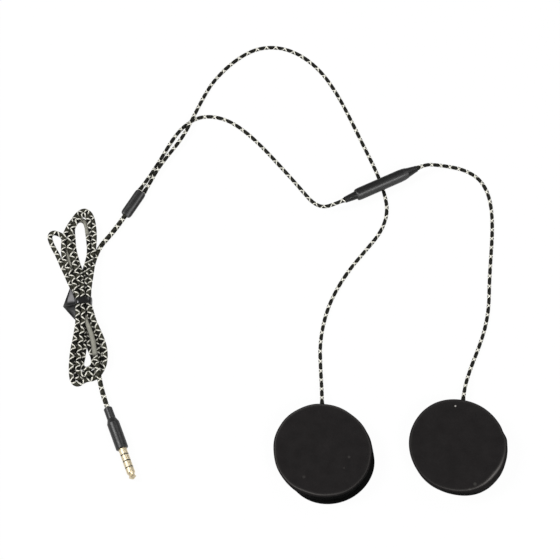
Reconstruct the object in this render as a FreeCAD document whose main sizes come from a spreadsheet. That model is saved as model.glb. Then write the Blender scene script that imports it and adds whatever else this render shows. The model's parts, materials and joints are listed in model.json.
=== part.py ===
import FreeCAD, Part
import math
import os
from types import SimpleNamespace

import Sketcher
from FreeCAD import Placement, Rotation, Vector

# A pair of thin round helmet speakers on braided cords.
# The two speakers lie on their backs. Their cords join at a splitter, the right one by way of a
# microphone bar, and the main cord is tied up in a hank and ends in a four-pole plug.
# Millimetres, +Z up. The origin is on the floor under the middle of the two speakers.

doc = FreeCAD.newDocument("HelmetSpeakers")
sheet = doc.addObject("Spreadsheet::Sheet", "sizes")

DRIVING_SIZES = {
    # speaker puck, heights counted from the floor up
    "pad_reach": 1.4,
    "pad_thickness": 1.2,
    "pad_edge": 0.4,
    "shell_radius": 19.0,
    "shell_wall": 1.2,
    "shell_floor": 1.0,
    "shell_height": 5.8,
    "shell_edge": 0.9,
    "ledge_width": 1.0,
    "ledge_height": 2.7,
    "ring_height": 0.6,
    "ring_wall": 0.8,
    "grille_thickness": 0.8,
    "grille_edge": 0.3,
    "skirt_depth": 0.4,
    "skirt_wall": 0.9,
    "hole_radius": 0.95,
    "hole_pitch": 4.6,
    "cover_gap": 0.3,
    "cover_wall": 0.8,
    "cover_edge": 1.3,
    "hem_tuck": 0.25,
    "hem_lift": 0.45,
    # driver inside each puck
    "seat_gap": 0.25,
    "fit_gap": 0.1,
    "flange_thickness": 0.6,
    "flange_width": 1.85,
    "hub_height": 0.8,
    "hub_wall": 1.0,
    "hub_lift": 0.9,
    "vent_web": 1.25,
    "yoke_radius": 8.4,
    "yoke_wall": 0.9,
    "yoke_floor": 0.8,
    "magnet_radius": 6.0,
    "magnet_height": 1.1,
    "plate_radius": 6.2,
    "plate_height": 0.6,
    "coil_gap": 0.3,
    "coil_wall": 0.45,
    "coil_dip": 0.9,
    "film_thickness": 0.25,
    "film_seat": 1.35,
    "dome_rise": 0.75,
    "dome_flat": 0.6,
    "roll_rise": 0.75,
    "board_width": 7.0,
    "board_thickness": 0.6,
    "board_clear": 0.5,
    "board_ring_gap": 1.3,
    "solder_hole": 0.5,
    "solder_spread": 1.75,
    # where the cord goes through the side of the shell
    "wire_height": 3.55,
    "grommet_radius": 1.2,
    "grommet_collar": 0.1,
    "grommet_inside": 0.7,
    "grommet_outside": 1.0,
    "notch_gap": 0.35,
    # places of the two speakers
    "left_x": -28.25,
    "left_y": -1.0,
    "left_turn": 0.0,
    "left_pad_x": 1.95,
    "left_pad_y": -1.0,
    "right_x": 28.25,
    "right_y": 0.8,
    "right_turn": -7.4,
    "right_pad_x": 0.1,
    "right_pad_y": 1.0,
    # cords
    "cord_width": 2.1,
    "lead_length": 6.0,
    "main_lead": 4.8,
    "short_lead": 4.3,
    # splitter
    "splitter_x": -108.85,
    "splitter_y": 112.9,
    "splitter_turn": 58.0,
    "splitter_length": 12.5,
    "splitter_width": 4.5,
    "splitter_height": 2.9,
    "splitter_edge": 0.5,
    "groove_width": 0.9,
    "groove_depth": 0.35,
    "groove_length": 9.0,
    "strand_pitch": 2.2,
    # microphone bar
    "bar_x": -2.2,
    "bar_y": 120.6,
    "bar_turn": 25.2,
    "bar_clear": 0.3,
    "bar_length": 24.3,
    "bar_width": 5.2,
    "bar_lower": 2.0,
    "bar_upper": 2.6,
    "bar_shoulder": 0.7,
    "bar_ridge": 0.9,
    "bar_chamfer": 0.8,
    "bar_wall": 0.75,
    "bar_roof": 1.3,
    "bar_end_cut": 0.7,
    "rib_length": 1.2,
    "port_radius": 0.5,
    "port_inset": 5.8,
    "capsule_radius": 1.6,
    "capsule_height": 1.1,
    "circuit_length": 18.0,
    "circuit_thickness": 0.6,
    "circuit_gap": 0.15,
    "left_neck_length": 5.4,
    "left_neck_width": 3.4,
    "right_neck_length": 4.7,
    "right_neck_width": 4.4,
    "neck_end_width": 2.7,
    # plug
    "plug_x": -118.4,
    "plug_y": 19.4,
    "plug_turn": -70.2,
    "barrel_length": 19.3,
    "barrel_radius": 2.65,
    "boot_radius": 1.85,
    "boot_length": 5.2,
    "boot_flare": 2.0,
    "barrel_edge": 0.35,
    "pin_radius": 1.75,
    "pin_length": 14.0,
    "contact_1": 2.6,
    "contact_2": 5.5,
    "contact_3": 8.5,
    "insulator_length": 0.5,
    "shank_length": 4.0,
    "shank_radius": 1.45,
    "core_radius": 0.95,
    "rod_radius": 0.5,
    "tip_neck_radius": 1.15,
    "tip_bulb_radius": 1.6,
    "tip_point_radius": 0.4,
    "tip_barrel_length": 2.1,
    "tip_groove_length": 1.1,
    "tip_bulb_length": 0.9,
    # hank of main cord and its tie
    "hank_height": 5.4,
    "hank_socket": 0.2,
    "tie_x": -129.65,
    "tie_y": 68.3,
    "tie_turn": -4.0,
    "tie_width": 3.3,
    "tie_span": 6.9,
    "tie_thickness": 0.6,
    "tie_gap": 0.15,
    "ear_top_x": 5.9,
    "ear_top_y": 5.8,
    "ear_left_x": 8.8,
    "ear_left_y": 2.8,
    "ear_foot_y": 8.4,
}

for row, (name, number) in enumerate(DRIVING_SIZES.items(), start=1):
    sheet.set(f"A{row}", str(number))
    sheet.setAlias(f"A{row}", name)
doc.recompute()


class Size:
    """A length that carries its number together with the sheet expression that gives it."""

    def __init__(self, number, text):
        self.number = float(number)
        self.text = text

    def __add__(self, other):
        other = as_size(other)
        return Size(self.number + other.number, f"({self.text} + {other.text})")

    def __sub__(self, other):
        other = as_size(other)
        return Size(self.number - other.number, f"({self.text} - {other.text})")

    def __mul__(self, factor):
        return Size(self.number * factor, f"({self.text} * {factor})")

    def __truediv__(self, divisor):
        return Size(self.number / divisor, f"({self.text} / {divisor})")

    def __neg__(self):
        return Size(-self.number, f"(0 - {self.text})")


def as_size(value):
    """The value itself if it is a Size already, else a plain number as a Size."""
    return value if isinstance(value, Size) else Size(value, str(float(value)))


size = SimpleNamespace(**{name: Size(sheet.get(name), f"sizes.{name}") for name in DRIVING_SIZES})
ZERO = as_size(0)
finished = []

# Shares and counts that no size sets
DOME_FULLNESS = 0.78
NECK_FLAT = 0.5
ARC_SHARE = 0.45
VENTS = 6
HOLE_RINGS = 3
HOLES_MORE_A_RING = 6


def bind(item, name, value):
    """Ties one property of a feature to the sheet."""
    item.setExpression(name, as_size(value).text)


def set_place(item, x=0.0, y=0.0, z=0.0, turn=0.0, tip=None):
    """Places a sub-part: tipped first, then turned about +Z, then moved. Sizes come from the sheet."""
    x, y, z, turn = (as_size(value).number for value in (x, y, z, turn))
    heading = Rotation(Vector(0, 0, 1), turn)
    item.Placement = Placement(Vector(x, y, z), heading.multiply(tip) if tip else heading)


def finish(item, label):
    """Names a finished sub-part. The label becomes its file name."""
    item.Label = label
    finished.append(item)
    return item


def new_body(label):
    return finish(doc.addObject("PartDesign::Body", "".join(word.title() for word in label.split("_"))), label)


def new_sketch(body, name, plane, lift=None):
    """A sketch on one of the body's own origin planes, raised along that plane's normal by lift."""
    sketch = body.newObject("Sketcher::SketchObject", body.Name + name)
    base = next(item for item in body.Origin.OriginFeatures if item.Role == plane)
    sketch.AttachmentSupport = [(base, "")]
    sketch.MapMode = "FlatFace"
    if lift is not None:
        bind(sketch, "AttachmentOffset.Base.z", lift)
    return sketch


def pin_point(sketch, index, vertex, x, y):
    """Holds one point of a sketch at bound distances from the sketch's origin."""
    for kind, value in (("DistanceX", as_size(x)), ("DistanceY", as_size(y))):
        held = sketch.addConstraint(Sketcher.Constraint(kind, -1, 1, index, vertex, value.number))
        sketch.setExpression(f"Constraints[{held}]", value.text)


def flat(point):
    return Vector(as_size(point[0]).number, as_size(point[1]).number, 0)


def draw_outline(sketch, corners):
    """A closed outline. A corner (x, y) starts a straight side, and a corner (x, y, via_x, via_y)
    starts an arc that passes through via on its way to the next corner."""
    starts = []
    for index, corner in enumerate(corners):
        start = flat(corner)
        end = flat(corners[(index + 1) % len(corners)])
        if len(corner) == 2:
            side = sketch.addGeometry(Part.LineSegment(start, end), False)
            starts.append((side, 1, 2))
            continue
        via = flat(corner[2:])
        clockwise = (via - start).cross(end - via).z < 0
        arc = Part.Arc(end, via, start) if clockwise else Part.Arc(start, via, end)
        side = sketch.addGeometry(arc, False)
        starts.append((side, 2, 1) if clockwise else (side, 1, 2))
        middle = sketch.addGeometry(Part.Point(via), True)
        pin_point(sketch, middle, 1, corner[2], corner[3])
        sketch.addConstraint(Sketcher.Constraint("PointOnObject", middle, 1, side))
    for index, corner in enumerate(corners):
        side, first, last = starts[index]
        follower, next_first, _ = starts[(index + 1) % len(corners)]
        sketch.addConstraint(Sketcher.Constraint("Coincident", side, last, follower, next_first))
        pin_point(sketch, side, first, corner[0], corner[1])


def draw_circle(sketch, x, y, radius):
    """A circle whose centre and radius are bound."""
    centre = flat((x, y))
    ring = sketch.addGeometry(Part.Circle(centre, Vector(0, 0, 1), as_size(radius).number), False)
    pin_point(sketch, ring, 3, x, y)
    held = sketch.addConstraint(Sketcher.Constraint("Radius", ring, as_size(radius).number))
    sketch.setExpression(f"Constraints[{held}]", as_size(radius).text)


def turn_profile(body, corners, name="Turned"):
    """Spins an outline drawn in the XZ plane about the body's Z axis."""
    sketch = new_sketch(body, name + "Outline", "XZ_Plane")
    draw_outline(sketch, corners)
    turned = body.newObject("PartDesign::Revolution", body.Name + name)
    turned.Profile = sketch
    turned.ReferenceAxis = (sketch, ["V_Axis"])
    turned.Angle = 360
    sketch.Visibility = False
    return turned


def pad(body, name, sketch, length, midplane=False):
    grown = body.newObject("PartDesign::Pad", body.Name + name)
    grown.Profile = sketch
    bind(grown, "Length", length)
    grown.Midplane = midplane
    return grown


def pocket(body, name, sketch, length, midplane=False, reverse=False):
    """Cuts a sketch out of the body, against the sketch's normal unless reverse is set."""
    cut = body.newObject("PartDesign::Pocket", body.Name + name)
    cut.Profile = sketch
    bind(cut, "Length", length)
    cut.Midplane = midplane
    cut.Reversed = reverse
    return cut


def polar(body, name, feature, sketch, count):
    """Repeats a cut round the body's Z axis."""
    pattern = body.newObject("PartDesign::PolarPattern", body.Name + name)
    pattern.Originals = [feature]
    pattern.Axis = (sketch, ["N_Axis"])
    pattern.Angle = 360
    pattern.Occurrences = count
    body.Tip = pattern
    return pattern


def dress_edges(body, kind, name, radius, wanted):
    """Rounds (Fillet) or bevels (Chamfer) the edges for which wanted(edge) is true."""
    doc.recompute()
    base = body.Tip
    names = [f"Edge{i}" for i, edge in enumerate(base.Shape.Edges, start=1) if wanted(edge)]
    if not names:
        raise RuntimeError(f"no edges for {body.Name}{name}")
    dressed = body.newObject(f"PartDesign::{kind}", body.Name + name)
    dressed.Base = (base, names)
    bind(dressed, "Radius" if kind == "Fillet" else "Size", radius)
    return dressed


def ring_edge(radius, height):
    """Picks the full circle of this radius at this height."""
    def wanted(edge):
        curve = edge.Curve
        return (isinstance(curve, Part.Circle) and abs(curve.Radius - radius.number) < 1e-4
                and abs(edge.CenterOfMass.z - height.number) < 1e-4)
    return wanted


# Heights of the puck's layers, from the floor up
pad_top = size.pad_thickness
pad_radius = size.shell_radius + size.pad_reach
floor_top = pad_top + size.shell_floor
ledge_top = floor_top + size.ledge_height
shell_top = pad_top + size.shell_height
grille_top = shell_top + size.grille_thickness
cover_inside = grille_top + size.cover_gap
cover_top = cover_inside + size.cover_wall
shell_bore = size.shell_radius - size.shell_wall
ledge_bore = shell_bore - size.ledge_width
driver_radius = shell_bore - size.seat_gap
flange_top = ledge_top + size.flange_thickness
film_top = flange_top + size.film_thickness
gasket_top = shell_top - size.skirt_depth
skirt_radius = shell_bore - size.fit_gap
cover_bore = size.shell_radius + size.cover_gap
cover_radius = cover_bore + size.cover_wall
yoke_bore = size.yoke_radius - size.yoke_wall
ring_inside = size.yoke_radius + size.fit_gap
ring_outside = ring_inside + size.ring_wall
magnet_bottom = floor_top + size.yoke_floor
magnet_top = magnet_bottom + size.magnet_height
plate_top = magnet_top + size.plate_height
coil_inside = size.plate_radius + size.coil_gap
coil_outside = coil_inside + size.coil_wall
coil_top = flange_top - size.fit_gap
grommet_start = ledge_bore - size.grommet_inside
grommet_end = cover_radius + size.grommet_outside
board_start = ring_outside + size.board_ring_gap
board_length = grommet_start - size.board_clear - board_start
film_inside = driver_radius - size.film_seat


def hook_pad(side, spot):
    """Disc of hook tape glued under the shell, a little off its centre."""
    body = new_body(f"{side}_hook_pad")
    sketch = new_sketch(body, "Disc", "XY_Plane")
    draw_circle(sketch, ZERO, ZERO, pad_radius)
    pad(body, "Thickness", sketch, size.pad_thickness)
    dress_edges(body, "Fillet", "SoftEdge", size.pad_edge, ring_edge(pad_radius, size.pad_thickness))
    set_place(body, spot.x + spot.pad_x, spot.y + spot.pad_y)


def back_shell(side, spot):
    """Shallow moulded cup with a ledge for the driver, a locating ring and a hole for the cord."""
    body = new_body(f"{side}_back_shell")
    ring_top = floor_top + size.ring_height
    turn_profile(body, [
        (ZERO, pad_top),
        (size.shell_radius, pad_top),
        (size.shell_radius, shell_top),
        (shell_bore, shell_top),
        (shell_bore, ledge_top),
        (ledge_bore, ledge_top),
        (ledge_bore, floor_top),
        (ring_outside, floor_top),
        (ring_outside, ring_top),
        (ring_inside, ring_top),
        (ring_inside, floor_top),
        (ZERO, floor_top),
    ])
    dress_edges(body, "Fillet", "BackEdge", size.shell_edge, ring_edge(size.shell_radius, pad_top))
    hole = new_sketch(body, "CordHole", "XZ_Plane", -grommet_start)
    draw_circle(hole, ZERO, size.wire_height, size.grommet_radius)
    pocket(body, "CordWay", hole, size.shell_radius)
    set_place(body, spot.x, spot.y, turn=spot.turn)


def cord_grommet(side, spot):
    """Rubber bush moulded on the cord. Its collar sits behind the shell's ledge."""
    body = new_body(f"{side}_cord_grommet")
    collar_radius = size.grommet_radius + size.grommet_collar
    collar_end = ledge_bore - size.fit_gap - grommet_start
    nose = grommet_end - grommet_start
    turn_profile(body, [
        (ZERO, ZERO),
        (collar_radius, ZERO),
        (collar_radius, collar_end),
        (size.grommet_radius, collar_end),
        (size.grommet_radius, nose - size.grommet_outside),
        (size.cord_width / 2, nose),
        (ZERO, nose),
    ])
    start = spot.outward(grommet_start.number)
    lying = Rotation(Vector(1, 0, 0), -90)
    set_place(body, start.x, start.y, size.wire_height, spot.turn, lying)


def driver_frame(side, spot):
    """Stamped basket: a hub round the yoke, a cone with six vents and a flange on the ledge."""
    body = new_body(f"{side}_driver_frame")
    hub_bottom = floor_top + size.hub_lift
    hub_outside = size.yoke_radius + size.hub_wall
    flange_inside = driver_radius - size.flange_width
    turn_profile(body, [
        (size.yoke_radius, hub_bottom),
        (hub_outside, hub_bottom),
        (flange_inside, ledge_top),
        (driver_radius, ledge_top),
        (driver_radius, flange_top),
        (flange_inside, flange_top),
        (hub_outside, hub_bottom + size.hub_height),
        (size.yoke_radius, hub_bottom + size.hub_height),
    ])
    vent_radius = (flange_inside - hub_outside) / 2 - size.vent_web
    vent = new_sketch(body, "Vent", "XY_Plane", flange_top)
    draw_circle(vent, (flange_inside + hub_outside) / 2, ZERO, vent_radius)
    first = pocket(body, "FirstVent", vent, size.shell_height)
    polar(body, "Vents", first, vent, VENTS)
    set_place(body, spot.x, spot.y, turn=spot.turn)


def yoke(side, spot):
    """Turned steel cup that carries the magnet and closes its field round the coil."""
    body = new_body(f"{side}_yoke")
    turn_profile(body, [
        (ZERO, floor_top),
        (size.yoke_radius, floor_top),
        (size.yoke_radius, plate_top),
        (yoke_bore, plate_top),
        (yoke_bore, magnet_bottom),
        (ZERO, magnet_bottom),
    ])
    set_place(body, spot.x, spot.y)


def disc(side, spot, name, radius, bottom, height):
    """A plain round of sheet or sintered metal: the magnet and the plate on it."""
    round_piece = finish(doc.addObject("Part::Cylinder", f"{side.title()}{name.title()}"), f"{side}_{name}")
    bind(round_piece, "Radius", radius)
    bind(round_piece, "Height", height)
    set_place(round_piece, spot.x, spot.y, bottom)


def voice_coil(side, spot):
    """Thin ring of wire that stands in the gap between plate and yoke."""
    body = new_body(f"{side}_voice_coil")
    turn_profile(body, [
        (coil_inside, plate_top - size.coil_dip),
        (coil_outside, plate_top - size.coil_dip),
        (coil_outside, coil_top),
        (coil_inside, coil_top),
    ])
    set_place(body, spot.x, spot.y)


def diaphragm(side, spot):
    """Formed film: a dome with a flat crown over the coil, a rolled surround and a rim on the flange."""
    body = new_body(f"{side}_diaphragm")
    film = size.film_thickness
    roll_radius = (coil_outside + film_inside) / 2
    dome_radius = (coil_inside + size.dome_flat) / 2
    crown = coil_top + size.dome_rise
    dome_mid = coil_top + size.dome_rise * DOME_FULLNESS
    turn_profile(body, [
        (ZERO, crown + film),
        (size.dome_flat, crown + film, dome_radius, dome_mid + film),
        (coil_outside, coil_top + film, roll_radius, flange_top + size.roll_rise + film),
        (film_inside, film_top),
        (driver_radius, film_top),
        (driver_radius, flange_top),
        (film_inside, flange_top, roll_radius, flange_top + size.roll_rise),
        (coil_outside, coil_top),
        (coil_inside, coil_top, dome_radius, dome_mid),
        (size.dome_flat, crown),
        (ZERO, crown),
    ])
    set_place(body, spot.x, spot.y)


def gasket(side, spot):
    """Foam ring that the grille's skirt presses on the film's rim."""
    body = new_body(f"{side}_gasket")
    turn_profile(body, [
        (skirt_radius - size.skirt_wall, film_top),
        (driver_radius, film_top),
        (driver_radius, gasket_top),
        (skirt_radius - size.skirt_wall, gasket_top),
    ])
    set_place(body, spot.x, spot.y)


def terminal_board(side, spot):
    """Small board on the shell's floor where the cord's wires are soldered, with two holes."""
    body = new_body(f"{side}_terminal_board")
    outline = new_sketch(body, "Outline", "XY_Plane")
    half = size.board_width / 2
    draw_outline(outline, [(-half, ZERO), (half, ZERO), (half, board_length), (-half, board_length)])
    pad(body, "Board", outline, size.board_thickness)
    holes = new_sketch(body, "Holes", "XY_Plane", size.board_thickness)
    for sign in (-1, 1):
        draw_circle(holes, size.solder_spread * sign, board_length / 2, size.solder_hole)
    pocket(body, "SolderHoles", holes, size.board_thickness)
    start = spot.outward(board_start.number)
    set_place(body, start.x, start.y, floor_top, spot.turn)


def grille(side, spot):
    """Perforated front plate with a skirt that drops inside the shell. Rings of holes, six a ring more."""
    body = new_body(f"{side}_grille")
    turn_profile(body, [
        (ZERO, grille_top),
        (size.shell_radius, grille_top),
        (size.shell_radius, shell_top),
        (skirt_radius, shell_top),
        (skirt_radius, gasket_top),
        (skirt_radius - size.skirt_wall, gasket_top),
        (skirt_radius - size.skirt_wall, shell_top),
        (ZERO, shell_top),
    ])
    dress_edges(body, "Chamfer", "RimBevel", size.grille_edge, ring_edge(size.shell_radius, grille_top))
    middle = new_sketch(body, "MiddleHole", "XY_Plane", grille_top)
    draw_circle(middle, ZERO, ZERO, size.hole_radius)
    pocket(body, "Middle", middle, size.grille_thickness)
    for ring in range(1, HOLE_RINGS + 1):
        sketch = new_sketch(body, f"Ring{ring}Hole", "XY_Plane", grille_top)
        draw_circle(sketch, size.hole_pitch * ring, ZERO, size.hole_radius)
        first = pocket(body, f"Ring{ring}First", sketch, size.grille_thickness)
        polar(body, f"Ring{ring}", first, sketch, HOLES_MORE_A_RING * ring)
    set_place(body, spot.x, spot.y, turn=spot.turn)


def front_cover(side, spot):
    """Fabric-faced foam cap stretched over the grille and the shell's side, notched for the cord."""
    body = new_body(f"{side}_front_cover")
    hem = pad_top + size.hem_lift
    edge = size.cover_edge
    bend = 1 - math.sqrt(0.5)
    turn_profile(body, [
        (ZERO, cover_inside),
        (cover_bore, cover_inside),
        (cover_bore, hem),
        (cover_radius - size.hem_tuck, hem),
        (cover_radius, cover_top - edge, cover_radius - edge * bend, cover_top - edge * bend),
        (cover_radius - edge, cover_top),
        (ZERO, cover_top),
    ])
    notch = new_sketch(body, "Notch", "XZ_Plane")
    half = size.grommet_radius + size.notch_gap
    top = size.wire_height + size.grommet_radius + size.notch_gap
    draw_outline(notch, [(-half, ZERO), (half, ZERO), (half, top), (-half, top)])
    pocket(body, "CordNotch", notch, cover_radius + size.cover_gap)
    set_place(body, spot.x, spot.y, turn=spot.turn)


def speaker(side, spot):
    """All the pieces of one speaker, from the floor up."""
    hook_pad(side, spot)
    back_shell(side, spot)
    cord_grommet(side, spot)
    yoke(side, spot)
    disc(side, spot, "magnet", size.magnet_radius, magnet_bottom, size.magnet_height)
    disc(side, spot, "top_plate", size.plate_radius, magnet_top, size.plate_height)
    driver_frame(side, spot)
    terminal_board(side, spot)
    voice_coil(side, spot)
    diaphragm(side, spot)
    gasket(side, spot)
    grille(side, spot)
    front_cover(side, spot)


def speaker_spot(side):
    """Where one speaker lies, and a way to reach points straight out from its cord's side."""
    spot = SimpleNamespace(
        x=getattr(size, f"{side}_x"),
        y=getattr(size, f"{side}_y"),
        turn=getattr(size, f"{side}_turn"),
        pad_x=getattr(size, f"{side}_pad_x"),
        pad_y=getattr(size, f"{side}_pad_y"))

    def outward(distance, height=0.0):
        reach = Rotation(Vector(0, 0, 1), spot.turn.number).multVec(Vector(0, distance, height))
        return Vector(spot.x.number, spot.y.number, 0) + reach
    spot.outward = outward
    return spot


left_spot = speaker_spot("left")
right_spot = speaker_spot("right")
speaker("left", left_spot)
speaker("right", right_spot)


# Splitter: one moulding round the joint of the two branches and the main cord
def splitter():
    body = new_body("cord_splitter")
    radius = size.splitter_height / 2
    flat_half = size.splitter_width / 2 - radius
    section = new_sketch(body, "Section", "YZ_Plane")
    draw_outline(section, [
        (-flat_half, -radius),
        (flat_half, -radius, size.splitter_width / 2, ZERO),
        (flat_half, radius),
        (-flat_half, radius, -size.splitter_width / 2, ZERO),
    ])
    pad(body, "Block", section, size.splitter_length, midplane=True)
    end = size.splitter_length.number / 2
    dress_edges(body, "Fillet", "EndEdges", size.splitter_edge,
                lambda edge: abs(abs(edge.CenterOfMass.x) - end) < 1e-4)
    for name, lift, reverse in (("Top", radius, False), ("Under", -radius, True)):
        sketch = new_sketch(body, name + "Line", "XY_Plane", lift)
        half = size.groove_width / 2
        start = size.splitter_length / 2 - size.groove_length
        draw_outline(sketch, [
            (start, -half),
            (size.splitter_length / 2, -half),
            (size.splitter_length / 2, half),
            (start, half),
        ])
        pocket(body, name + "Groove", sketch, size.groove_depth, reverse=reverse)
    set_place(body, size.splitter_x, size.splitter_y, radius, size.splitter_turn)


splitter()


# Microphone bar: two shells with a roof-shaped section, a circuit board, a capsule and two necks
bar_bottom = size.cord_width + size.bar_clear
bar_height = size.bar_lower + size.bar_upper
bar_inner_half = size.bar_width / 2 - size.bar_wall
rib_top = size.bar_wall + size.capsule_height
circuit_half = bar_inner_half - size.circuit_gap


def place_on_bar(item, along=0.0, height=0.0):
    """Places a piece along the bar's axis, at a height above the bar's underside."""
    step = Rotation(Vector(0, 0, 1), size.bar_turn.number).multVec(Vector(as_size(along).number, 0, 0))
    set_place(item, size.bar_x + step.x, size.bar_y + step.y, bar_bottom + height, size.bar_turn)


def bar_cavity(body, name, lift, depth, reverse):
    """The rectangular hollow inside one shell of the bar."""
    sketch = new_sketch(body, name, "XY_Plane", lift)
    reach = size.bar_length / 2 - size.bar_wall
    draw_outline(sketch, [
        (-reach, -bar_inner_half),
        (reach, -bar_inner_half),
        (reach, bar_inner_half),
        (-reach, bar_inner_half),
    ])
    return pocket(body, name + "Cut", sketch, depth, reverse=reverse)


def bevel_bar_end(body, lowest, highest):
    """Bevels the end edges of a shell's outside, apart from those on the joint line."""
    end = size.bar_length.number / 2
    dress_edges(body, "Chamfer", "EndBevel", size.bar_end_cut,
                lambda edge: abs(abs(edge.CenterOfMass.x) - end) < 1e-4
                and lowest < edge.CenterOfMass.z < highest)


def bar_shells():
    half = size.bar_width / 2
    ridge = size.bar_ridge / 2
    upper = new_body("mic_upper_shell")
    section = new_sketch(upper, "Section", "YZ_Plane")
    draw_outline(section, [
        (-half, size.bar_lower),
        (half, size.bar_lower),
        (half, size.bar_lower + size.bar_shoulder),
        (ridge, bar_height),
        (-ridge, bar_height),
        (-half, size.bar_lower + size.bar_shoulder),
    ])
    pad(upper, "Roof", section, size.bar_length, midplane=True)
    joint = size.bar_lower.number
    shoulder = joint + size.bar_shoulder.number
    bevel_bar_end(upper, shoulder + 0.01, bar_height.number + 0.01)
    bar_cavity(upper, "RoofSpace", size.bar_lower, size.bar_shoulder + size.fit_gap, True)
    place_on_bar(upper)
    lower = new_body("mic_lower_shell")
    section = new_sketch(lower, "Section", "YZ_Plane")
    draw_outline(section, [
        (-half + size.bar_chamfer, ZERO),
        (half - size.bar_chamfer, ZERO),
        (half, size.bar_chamfer),
        (half, size.bar_lower),
        (-half, size.bar_lower),
        (-half, size.bar_chamfer),
    ])
    pad(lower, "Tray", section, size.bar_length, midplane=True)
    bar_cavity(lower, "TraySpace", size.bar_lower, size.bar_lower - size.bar_wall, False)
    ribs = new_sketch(lower, "Ribs", "XY_Plane", size.bar_wall)
    outer = size.circuit_length / 2
    inner = outer - size.rib_length
    for near, far in ((-outer, -inner), (inner, outer)):
        draw_outline(ribs, [
            (near, -bar_inner_half),
            (far, -bar_inner_half),
            (far, bar_inner_half),
            (near, bar_inner_half),
        ])
    pad(lower, "BoardRibs", ribs, size.capsule_height)
    port = new_sketch(lower, "Port", "XY_Plane", size.bar_wall)
    draw_circle(port, size.port_inset, ZERO, size.port_radius)
    pocket(lower, "MicPort", port, size.bar_wall)
    place_on_bar(lower)


def bar_insides():
    circuit = new_body("mic_circuit_board")
    outline = new_sketch(circuit, "Outline", "XY_Plane")
    reach = size.circuit_length / 2
    draw_outline(outline, [
        (-reach, -circuit_half),
        (reach, -circuit_half),
        (reach, circuit_half),
        (-reach, circuit_half),
    ])
    pad(circuit, "Board", outline, size.circuit_thickness)
    place_on_bar(circuit, height=rib_top)
    capsule = finish(doc.addObject("Part::Cylinder", "MicCapsule"), "mic_capsule")
    bind(capsule, "Radius", size.capsule_radius)
    bind(capsule, "Height", size.capsule_height)
    place_on_bar(capsule, size.port_inset, size.bar_wall)


def neck_section(body, name, at, width):
    """Octagonal section of a cord neck, as tall as it is wide, at a place along the bar."""
    sketch = new_sketch(body, name, "YZ_Plane", at)
    half = width / 2
    corner = half * NECK_FLAT
    draw_outline(sketch, [
        (-corner, -half), (corner, -half), (half, -corner), (half, corner),
        (corner, half), (-corner, half), (-half, corner), (-half, -corner),
    ])
    return sketch


def bar_neck(label, sign, length, width):
    """Tapered neck between the bar and its cord, lofted from an octagon to a smaller one."""
    body = new_body(label)
    root = size.bar_length * (sign * 0.5)
    near = neck_section(body, "Root", root, width)
    far = neck_section(body, "End", root + length * sign, size.neck_end_width)
    loft = body.newObject("PartDesign::AdditiveLoft", body.Name + "Taper")
    loft.Profile = near
    loft.Sections = [far]
    loft.Ruled = True
    place_on_bar(body, height=bar_height / 2)


bar_shells()
bar_insides()
bar_neck("mic_left_neck", -1, size.left_neck_length, size.left_neck_width)
bar_neck("mic_right_neck", 1, size.right_neck_length, size.right_neck_width)


# Plug: moulded barrel, one moulded insulator and four gilt contacts round a common rod
def place_on_plug(item):
    """Lays a piece turned about Z along the plug's axis, with the barrel touching the floor."""
    set_place(item, size.plug_x, size.plug_y, size.barrel_radius, size.plug_turn,
              Rotation(Vector(0, 1, 0), 90))


def plug_piece(label, corners):
    body = new_body(label)
    turn_profile(body, corners)
    place_on_plug(body)
    return body


def plug():
    face = size.barrel_length
    bore_end = face - size.shank_length
    gap = size.insulator_length
    pin, core, rod = size.pin_radius, size.core_radius, size.rod_radius
    first, second, third = (face + at for at in (size.contact_1, size.contact_2, size.contact_3))
    flare_end = size.boot_length + size.boot_flare
    middle = (size.boot_radius + size.barrel_radius) / 2
    plug_piece("plug_barrel", [
        (ZERO, ZERO),
        (size.boot_radius - size.barrel_edge, ZERO),
        (size.boot_radius, size.barrel_edge),
        (size.boot_radius, size.boot_length),
        (middle, size.boot_length + size.boot_flare / 2),
        (size.barrel_radius, flare_end),
        (size.barrel_radius, face - size.barrel_edge),
        (size.barrel_radius - size.barrel_edge, face),
        (size.shank_radius, face),
        (size.shank_radius, bore_end),
        (ZERO, bore_end),
    ])
    plug_piece("plug_sleeve_contact", [
        (core, bore_end),
        (size.shank_radius, bore_end),
        (size.shank_radius, face),
        (pin, face),
        (pin, first),
        (core, first),
    ])
    plug_piece("plug_rear_ring", [(core, first + gap), (pin, first + gap), (pin, second), (core, second)])
    plug_piece("plug_front_ring", [(core, second + gap), (pin, second + gap), (pin, third), (core, third)])
    plug_piece("plug_insulator", [
        (rod, bore_end),
        (core, bore_end),
        (core, first),
        (pin, first),
        (pin, first + gap),
        (core, first + gap),
        (core, second),
        (pin, second),
        (pin, second + gap),
        (core, second + gap),
        (core, third),
        (pin, third),
        (pin, third + gap),
        (rod, third + gap),
    ])
    tip_start = third + gap
    groove = tip_start + size.tip_barrel_length
    bulb = groove + size.tip_groove_length
    point = face + size.pin_length
    plug_piece("plug_tip_contact", [
        (ZERO, bore_end),
        (rod, bore_end),
        (rod, tip_start),
        (pin, tip_start),
        (pin, groove),
        (size.tip_neck_radius, bulb),
        (size.tip_bulb_radius, bulb + size.tip_bulb_length),
        (size.tip_point_radius, point),
        (ZERO, point),
    ])


plug()


# Tie: a flat plastic strap round the waist of the hank, with a folded ear on its left
tie_opening = size.tie_thickness + size.tie_gap
tie_height = size.hank_height + tie_opening
ear_corners = [
    (-size.tie_span / 2, size.tie_width / 2),
    (-size.ear_top_x, size.ear_top_y),
    (-size.ear_left_x, -size.ear_left_y),
    (-size.tie_span / 2, -size.ear_foot_y),
]


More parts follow.
